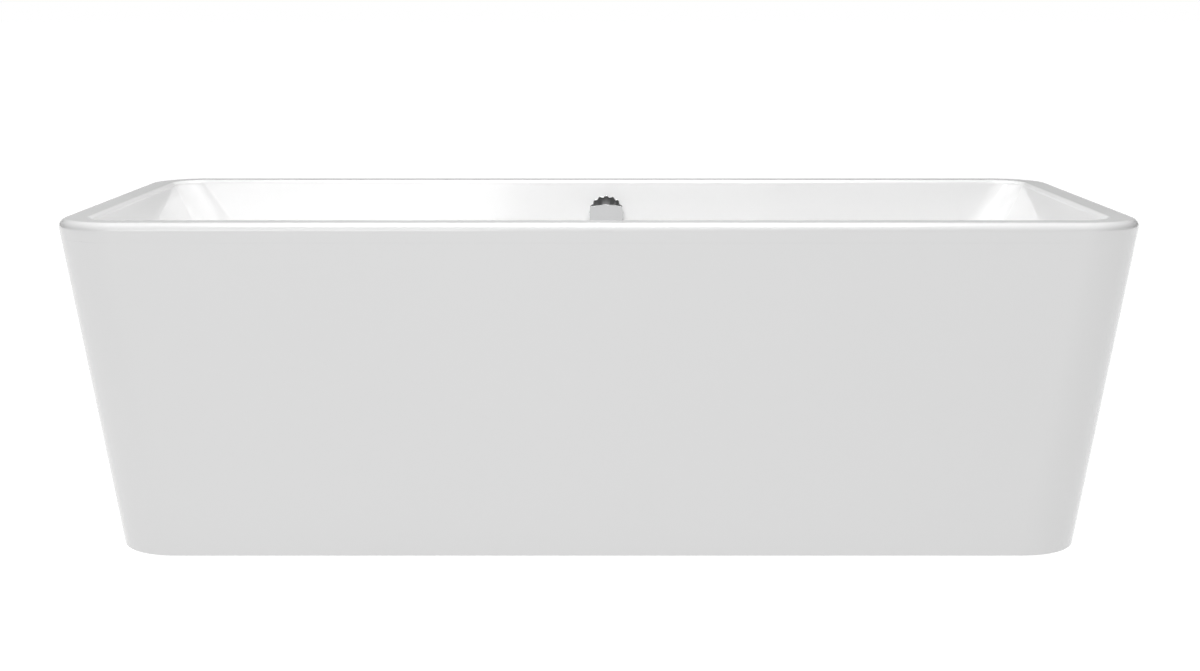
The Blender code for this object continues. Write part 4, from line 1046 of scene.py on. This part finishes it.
for capSide in footSides[:4]:
    makeEndCap(capSide)
for screwNumber in range(1, 5):
    makeBoardScrew(screwNumber)
print("fittings made")


# floor, light and camera

studio = {
    "floorColour": (0.08, 0.08, 0.08), "floorSize": 240.0, "floorGlow": 1.03,
    # elevation as the sine of the angle above the horizon, and the sky's brightness there
    "sky": [(0.0, 0.12), (0.36, 0.24), (0.60, 0.10), (1.0, 0.02)],
    "sideFall": 1.0, "sideShift": 0.15, "worldStrength": 1.0,
    # the bright band's brightness, and the directions between which it fades in
    "backdrop": 1.0, "fades": [("Y", 0.80, 0.94), ("Z", 0.10, 0.04)],
    "lights": [
        # name, place, aim, width, depth, power
        ("overhead", (-0.05, -0.35, 2.9), (0.0, 0.1, 0.3), 2.0, 1.5, 83),
        ("faceCard", (0.03, -5.5, 1.97), (0.015, 0.32, 0.51), 1.6, 0.9, 2.4),
        ("frontCard", (-1.5, -5.7, 2.1), (0, 0.3, 0.5), 2.0, 1.5, 38),
    ],
}


def makeStage():
    clearSelection()
    bpy.ops.mesh.primitive_plane_add(size=studio["floorSize"], location=(0, 0, 0))
    floor = bpy.context.object
    floor.name = "studioFloor"
    material, shader = newMaterial("paleFloor")
    shader.inputs["Base Color"].default_value = (*studio["floorColour"], 1)
    shader.inputs["Roughness"].default_value = 0.9
    shader.inputs["Emission Color"].default_value = (1, 1, 1, 1)
    shader.inputs["Emission Strength"].default_value = studio["floorGlow"]
    floor.data.materials.append(material)


def makeWorld():  # brightest part-way up and less so at the sides, with a bright band low behind
    world = bpy.data.worlds.new("softStudio")
    bpy.context.scene.world = world
    world.use_nodes = True
    tree = world.node_tree
    background = tree.nodes["Background"]
    background.inputs["Strength"].default_value = studio["worldStrength"]
    coordinates = addNode(tree, "ShaderNodeTexCoord", (-1100, 0))
    split = addNode(tree, "ShaderNodeSeparateXYZ", (-900, 0))
    ramp = addNode(tree, "ShaderNodeValToRGB", (-600, 100))
    stops = ramp.color_ramp.elements
    while len(stops) < len(studio["sky"]):
        stops.new(0.5)
    for stop, (position, value) in zip(stops, studio["sky"]):
        stop.position = position
        stop.color = (value, value, value, 1)
    square = addNode(tree, "ShaderNodeMath", (-650, -200), operation="MULTIPLY")
    fall = addNode(tree, "ShaderNodeMath", (-500, -200), operation="MULTIPLY_ADD", use_clamp=True)
    fall.inputs[1].default_value = -studio["sideFall"]
    fall.inputs[2].default_value = 1.0
    scaled = addNode(tree, "ShaderNodeVectorMath", (-250, 0), operation="SCALE")
    shifted = addNode(tree, "ShaderNodeMath", (-800, -200), operation="ADD")
    shifted.inputs[1].default_value = studio["sideShift"]
    band = addNode(tree, "ShaderNodeMath", (-300, -550), operation="MULTIPLY")
    backdrop = addNode(tree, "ShaderNodeMix", (-100, 0), data_type="RGBA")
    backdrop.inputs[7].default_value = (studio["backdrop"],) * 3 + (1,)
    link = tree.links.new
    for number, (axis, start, end) in enumerate(studio["fades"]):
        fade = addNode(tree, "ShaderNodeMapRange", (-500, -450 - 250 * number))
        fade.interpolation_type = "SMOOTHSTEP"
        fade.inputs["From Min"].default_value = start
        fade.inputs["From Max"].default_value = end
        link(split.outputs[axis], fade.inputs["Value"])
        link(fade.outputs["Result"], band.inputs[number])
    link(coordinates.outputs["Generated"], split.inputs["Vector"])
    link(split.outputs["Z"], ramp.inputs["Fac"])
    link(split.outputs["X"], shifted.inputs[0])
    link(shifted.outputs[0], square.inputs[0])
    link(shifted.outputs[0], square.inputs[1])
    link(square.outputs[0], fall.inputs[0])
    link(ramp.outputs["Color"], scaled.inputs[0])
    link(fall.outputs[0], scaled.inputs["Scale"])
    link(band.outputs[0], backdrop.inputs[0])
    link(scaled.outputs[0], backdrop.inputs[6])
    link(backdrop.outputs[2], background.inputs["Color"])


def makeLights():
    for name, place, aim, width, depth, power in studio["lights"]:
        bpy.ops.object.light_add(type="AREA", location=place)
        light = bpy.context.object
        light.name = name
        light.data.shape = "RECTANGLE"
        light.data.size = width
        light.data.size_y = depth
        light.data.energy = power
        light.rotation_euler = (Vector(aim) - Vector(place)).to_track_quat("-Z", "Y").to_euler()


cameraView = {"place": (0.002, -3.287, 0.9207), "pitch": 10.30, "yaw": 0.0, "roll": 0.0, "lens": 53.88}


def makeCamera():
    bpy.ops.object.camera_add(location=cameraView["place"])
    camera = bpy.context.object
    camera.data.lens = cameraView["lens"]
    camera.data.sensor_width = 36.0
    pitch = math.radians(90 - cameraView["pitch"])
    camera.rotation_euler = (pitch, math.radians(cameraView["roll"]), math.radians(cameraView["yaw"]))
    bpy.context.scene.camera = camera


makeStage()
makeWorld()
makeLights()
makeCamera()
bpy.context.scene.view_settings.view_transform = "Standard"
print("studio made")
